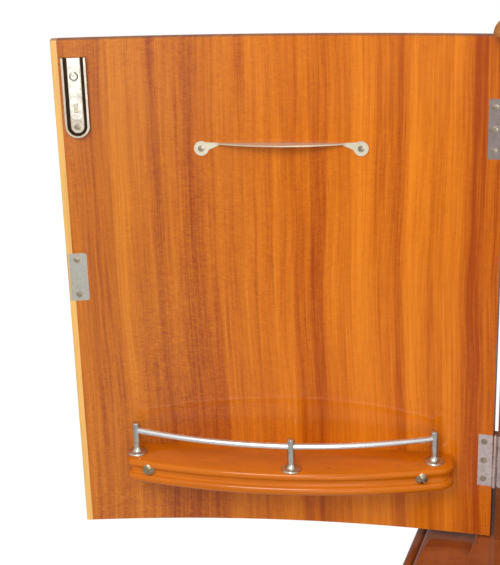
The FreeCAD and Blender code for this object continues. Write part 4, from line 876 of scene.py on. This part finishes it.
class CABINET_OT_screws(CabinetPiece, bpy.types.Operator):
    """Slotted countersunk screws in hinges, strips, bolt and strike"""

    bl_idname = "cabinet.screws"
    bl_label = "Small screws"

    # How far the seats of the strip's and the bolt's screws stand off the door's inner face
    STRIP_SEAT, BOLT_SEAT = 1.4 * MM, 3 * MM
    # Level of a screw's tip below its seat
    TIP = -4 * MM

    def execute(self, context):
        scene = context.scene
        door, low_door, screw = scene.cabinet_door, scene.cabinet_lower_door, scene.cabinet_screw
        clean = scene.cabinet_metal.screw
        self.material = plated("screw plating", clean, (0.12, 0.08, 0.05), 0.6, 0.26, relief=0.15)
        both = self.hinge_screws(door, screw.upper_hinge, True, True)
        bolt = facing(0, -door.bow + self.BOLT_SEAT, -BOLT_SCREW_DROP)
        left_only = [on_door(BOLT_ALONG, BOLT_LEVEL) @ bolt]
        for side in (-1, 1):
            ear = on_door(STRIP_ALONG + side * STRIP_SCREW_OUT, STRIP_LEVEL)
            both.append(ear @ facing(0, -door.bow + self.STRIP_SEAT, 0))
            strike = facing(-STRIKE_SCREW_IN, -door.bow, side * STRIKE_SCREW_OUT)
            left_only.append(on_door(0, STRIKE_LEVEL) @ strike)
        lower = self.hinge_screws(low_door, screw.lower_hinge, True, False)
        case = self.hinge_screws(door, screw.upper_hinge, False, False)
        case += self.hinge_screws(low_door, screw.lower_hinge, False, False)
        case += [Matrix.Diagonal((-1, 1, 1, 1)) @ place for place in case]
        for name, places, mirror, body, node in (
            ("left_door_screw_heads", both + left_only, False, "left_door", "left_door_screws"),
            ("right_door_screw_heads", both, True, "right_door", "right_door_screws"),
            ("lower_left_screw_heads", lower, False, "lower_left_door", "lower_left_screws"),
            ("lower_right_screw_heads", lower, True, "lower_right_door", "lower_right_screws"),
            ("case_screw_heads", case, False, "cabinet", "case_screws"),
        ):
            self.heads(name, places, mirror, body, node)
        return {"FINISHED"}

    def hinge_screws(self, door, inset, on_leaf, swung):
        """The places of six screws: three in each of two hinges, in the door's leaves or in the case's."""
        screw = bpy.context.scene.cabinet_screw
        face = -door.bow if on_leaf else -(door.bow - bpy.context.scene.cabinet_door.seat_gap)
        places = []
        for level in (inset, door.height - inset):
            for step in (-1, 0, 1):
                spot = facing(screw.inset, face, step * screw.pitch, not on_leaf)
                places.append(at_hinge(door, level, swung) @ spot)
        return places

    def heads(self, name, places, mirror, body, node):
        """One mesh of screw heads. Their slots point each its own way."""
        screw = bpy.context.scene.cabinet_screw
        skirt = [(screw.shank, -screw.head_depth), (screw.shank, self.TIP), (0.0, self.TIP)]
        floor = screw.dome - screw.slot_depth
        work = bmesh.new()
        for index, place in enumerate(places):
            raised = place @ Matrix.Translation((0, 0, screw.proud))
            slotted_head(work, raised, screw.head, screw.dome, floor, screw.slot, skirt, 0.5 + index * 2.4)
        piece = new_piece(as_mesh(name, work, Matrix(), mirror), self.material, body)
        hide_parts(node)


class CABINET_OT_knobs(CabinetPiece, bpy.types.Operator):
    """Turned knobs on all four doors"""

    bl_idname = "cabinet.knobs"
    bl_label = "Knobs"

    def execute(self, context):
        scene = context.scene
        knob, door, low_door = scene.cabinet_knob, scene.cabinet_door, scene.cabinet_lower_door
        tones = scene.cabinet_metal
        material = plated("knob polish", tones.brass, tones.tarnish, 0.3, 0.14, relief=0.08)
        upper = on_door(knob.along, knob.upper_level) @ facing(0, -door.bow - low_door.thickness, 0, True)
        lower = on_lower_door(knob.along, low_door.height - knob.lower_drop)
        lower = lower @ facing(0, -low_door.bow - low_door.thickness, 0, True)
        for name, place in (("", upper), ("lower_", lower)):
            for side, mirror in SIDES:
                work = bmesh.new()
                turned(work, self.profile(knob))
                mesh = as_mesh(f"{name}{side}_turned_knob", work, place, mirror)
                piece = new_piece(mesh, material, f"{name}{side}_door")
                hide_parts(f"{name}{side}_knob")
        return {"FINISHED"}

    def profile(self, knob):
        """From the neck round the swelling head to its face."""
        under, rim = knob.neck_length + 4 * MM, knob.length_out - 4 * MM
        back, front = knob.radius - 1 * MM, knob.radius - 0.6 * MM
        edge = (knob.radius - 4.6 * MM, knob.length_out - 0.4 * MM)
        points = [(0.0, 0.0), (knob.neck, 0.0)]
        points += arc((knob.neck, knob.neck_length - 1 * MM), (back, under), -1.2 * MM, 8)
        points += arc((back, under), (front, rim), 0.9 * MM, 8)[1:]
        points += arc((front, rim), edge, 0.8 * MM, 8)[1:]
        points += [(0.0, knob.length_out)]
        return points


class CABINET_OT_glazing(CabinetPiece, bpy.types.Operator):
    """The glass shelf and the mirror"""

    bl_idname = "cabinet.glazing"
    bl_label = "Glass and mirror"

    def execute(self, context):
        silver = plated("silvered mirror", (0.9, 0.91, 0.91), (0.6, 0.6, 0.58), 0.06, 0.02, relief=0.0)
        dress(silver, "back_mirror")
        clear = {"metallic": 0.0, "relief": 0.0, "Transmission_Weight": 1.0, "IOR": 1.5}
        glass = plated("shelf glass", (0.86, 0.96, 0.93), (0.8, 0.9, 0.87), 0.1, 0.02, **clear)
        dress(glass, "glass_shelf")
        return {"FINISHED"}


class CABINET_OT_studio(CabinetPiece, bpy.types.Operator):
    """The floor, the soft lights and the camera"""

    bl_idname = "cabinet.studio"
    bl_label = "Studio"

    # What both lights face, on the open door's side of the cabinet
    AIM = (-0.4, 0.0, 1.0)

    def execute(self, context):
        scene = context.scene
        studio = scene.cabinet_studio
        self.floor(studio)
        self.sky(scene, studio)
        self.lamp("key light", (-0.65, -2.1, 2.6), 0.9, studio.key_power)
        self.lamp("fill light", (0.3, -3.2, 0.95), 1.0, studio.fill_power)
        self.camera(scene, studio)
        scene.view_settings.view_transform = "Standard"
        return {"FINISHED"}

    def lamp(self, name, place, size, strength):
        """A square soft light."""
        lamp = bpy.data.lights.new(name, "AREA")
        lamp.energy = strength
        lamp.shape = "SQUARE"
        lamp.size = size
        back = Vector(place) - Vector(self.AIM)
        turn = back.to_track_quat("Z", "Y").to_matrix().to_4x4()
        new_object(name, lamp).matrix_world = Matrix.Translation(place) @ turn

    def floor(self, studio):
        """A pale matt floor, almost plain white where it is seen directly."""
        work = bmesh.new()
        bmesh.ops.create_grid(work, x_segments=8, y_segments=8, size=6.0)
        mesh = bpy.data.meshes.new("floor")
        work.to_mesh(mesh)
        work.free()
        material = bpy.data.materials.new("studio floor")
        tree = bare_tree(material)
        place = put(tree, "TexCoord").outputs["Object"]
        mottle = noise(tree, place, 0.0, 3.0, size=6.0)
        tint = blended(tree, mottle, studio.floor, [c * 0.97 for c in studio.floor])
        matt = put(tree, "BsdfDiffuse", {"Color": tint})
        white = put(tree, "Emission", {"Color": (1.0, 1.0, 1.0), "Strength": 1.13})
        seen = sums(tree, "MULTIPLY", seen_directly(tree), 0.85)
        mixed = put(tree, "MixShader", {0: seen, 1: matt.outputs[0], 2: white.outputs[0]})
        put(tree, "OutputMaterial", {0: mixed.outputs[0]})
        mesh.materials.append(material)
        floor = new_object("studio_floor", mesh)

    def sky(self, scene, studio):
        """Soft light from all round, brighter above and in front, and plain white where it is seen."""
        world = bpy.data.worlds.new("studio sky")
        scene.world = world
        tree = bare_tree(world)
        toward = put(tree, "TexCoord").outputs["Generated"]
        parts = put(tree, "SeparateXYZ", {"Vector": toward})
        lifted = spread(tree, parts.outputs["Z"], -0.5, 0.8, 0.6, 1.35)
        lifted = sums(tree, "MULTIPLY", lifted, spread(tree, parts.outputs["Y"], 0.3, -0.7, 0.3, 1.3))
        seen = seen_directly(tree)
        soft = sums(tree, "MULTIPLY", lifted, studio.sky)
        strength = sums(tree, "ADD", sums(tree, "MULTIPLY", soft, sums(tree, "SUBTRACT", 1.0, seen)), seen)
        light = put(tree, "Background", {"Color": (1.0, 1.0, 1.0), "Strength": strength})
        put(tree, "OutputWorld", {0: light.outputs[0]})

    def camera(self, scene, studio):
        yaw, pitch, roll = -studio.yaw, studio.pitch, studio.roll
        ahead = Vector((math.sin(yaw) * math.cos(pitch), math.cos(yaw) * math.cos(pitch), -math.sin(pitch)))
        right = Vector((math.cos(yaw), -math.sin(yaw), 0))
        up = right.cross(ahead)
        side = right * math.cos(roll) + up * math.sin(roll)
        top = up * math.cos(roll) - right * math.sin(roll)
        lens = bpy.data.cameras.new("camera")
        lens.lens = studio.lens
        lens.sensor_width = 36
        turned_to = Matrix((side, top, -ahead)).transposed().to_4x4()
        scene.camera = new_object("camera", lens)
        scene.camera.matrix_world = Matrix.Translation(studio.place) @ turned_to


class CABINET_PT_panel(bpy.types.Panel):
    """Lists the cabinet's pieces"""

    bl_idname = "CABINET_PT_panel"
    bl_label = "Cocktail Cabinet"
    bl_space_type = "VIEW_3D"
    bl_region_type = "UI"
    bl_category = "Cabinet"

    def draw(self, context):
        for operator in OPERATORS:
            self.layout.operator(operator.bl_idname)


SETTINGS = {
    "cabinet_door": DoorSettings,
    "cabinet_lower_door": LowerDoorSettings,
    "cabinet_rail": RailSettings,
    "cabinet_shelf": ShelfSettings,
    "cabinet_screw": ScrewSettings,
    "cabinet_knob": KnobSettings,
    "cabinet_wood": WoodSettings,
    "cabinet_metal": MetalSettings,
    "cabinet_studio": StudioSettings,
}
OPERATORS = (
    CABINET_OT_studio,
    CABINET_OT_boards,
    CABINET_OT_fittings,
    CABINET_OT_shelves,
    CABINET_OT_gallery,
    CABINET_OT_screws,
    CABINET_OT_knobs,
    CABINET_OT_glazing,
)
CLASSES = (*SETTINGS.values(), *OPERATORS, CABINET_PT_panel)


def register():
    for kind in CLASSES:
        bpy.utils.register_class(kind)
    for name, kind in SETTINGS.items():
        setattr(bpy.types.Scene, name, bpy.props.PointerProperty(type=kind))


def unregister():
    for name in SETTINGS:
        delattr(bpy.types.Scene, name)
    for kind in reversed(CLASSES):
        bpy.utils.unregister_class(kind)


def main():
    register()
    for operator in OPERATORS:
        group, name = operator.bl_idname.split(".")
        getattr(getattr(bpy.ops, group), name)()


if __name__ == "__main__":
    main()
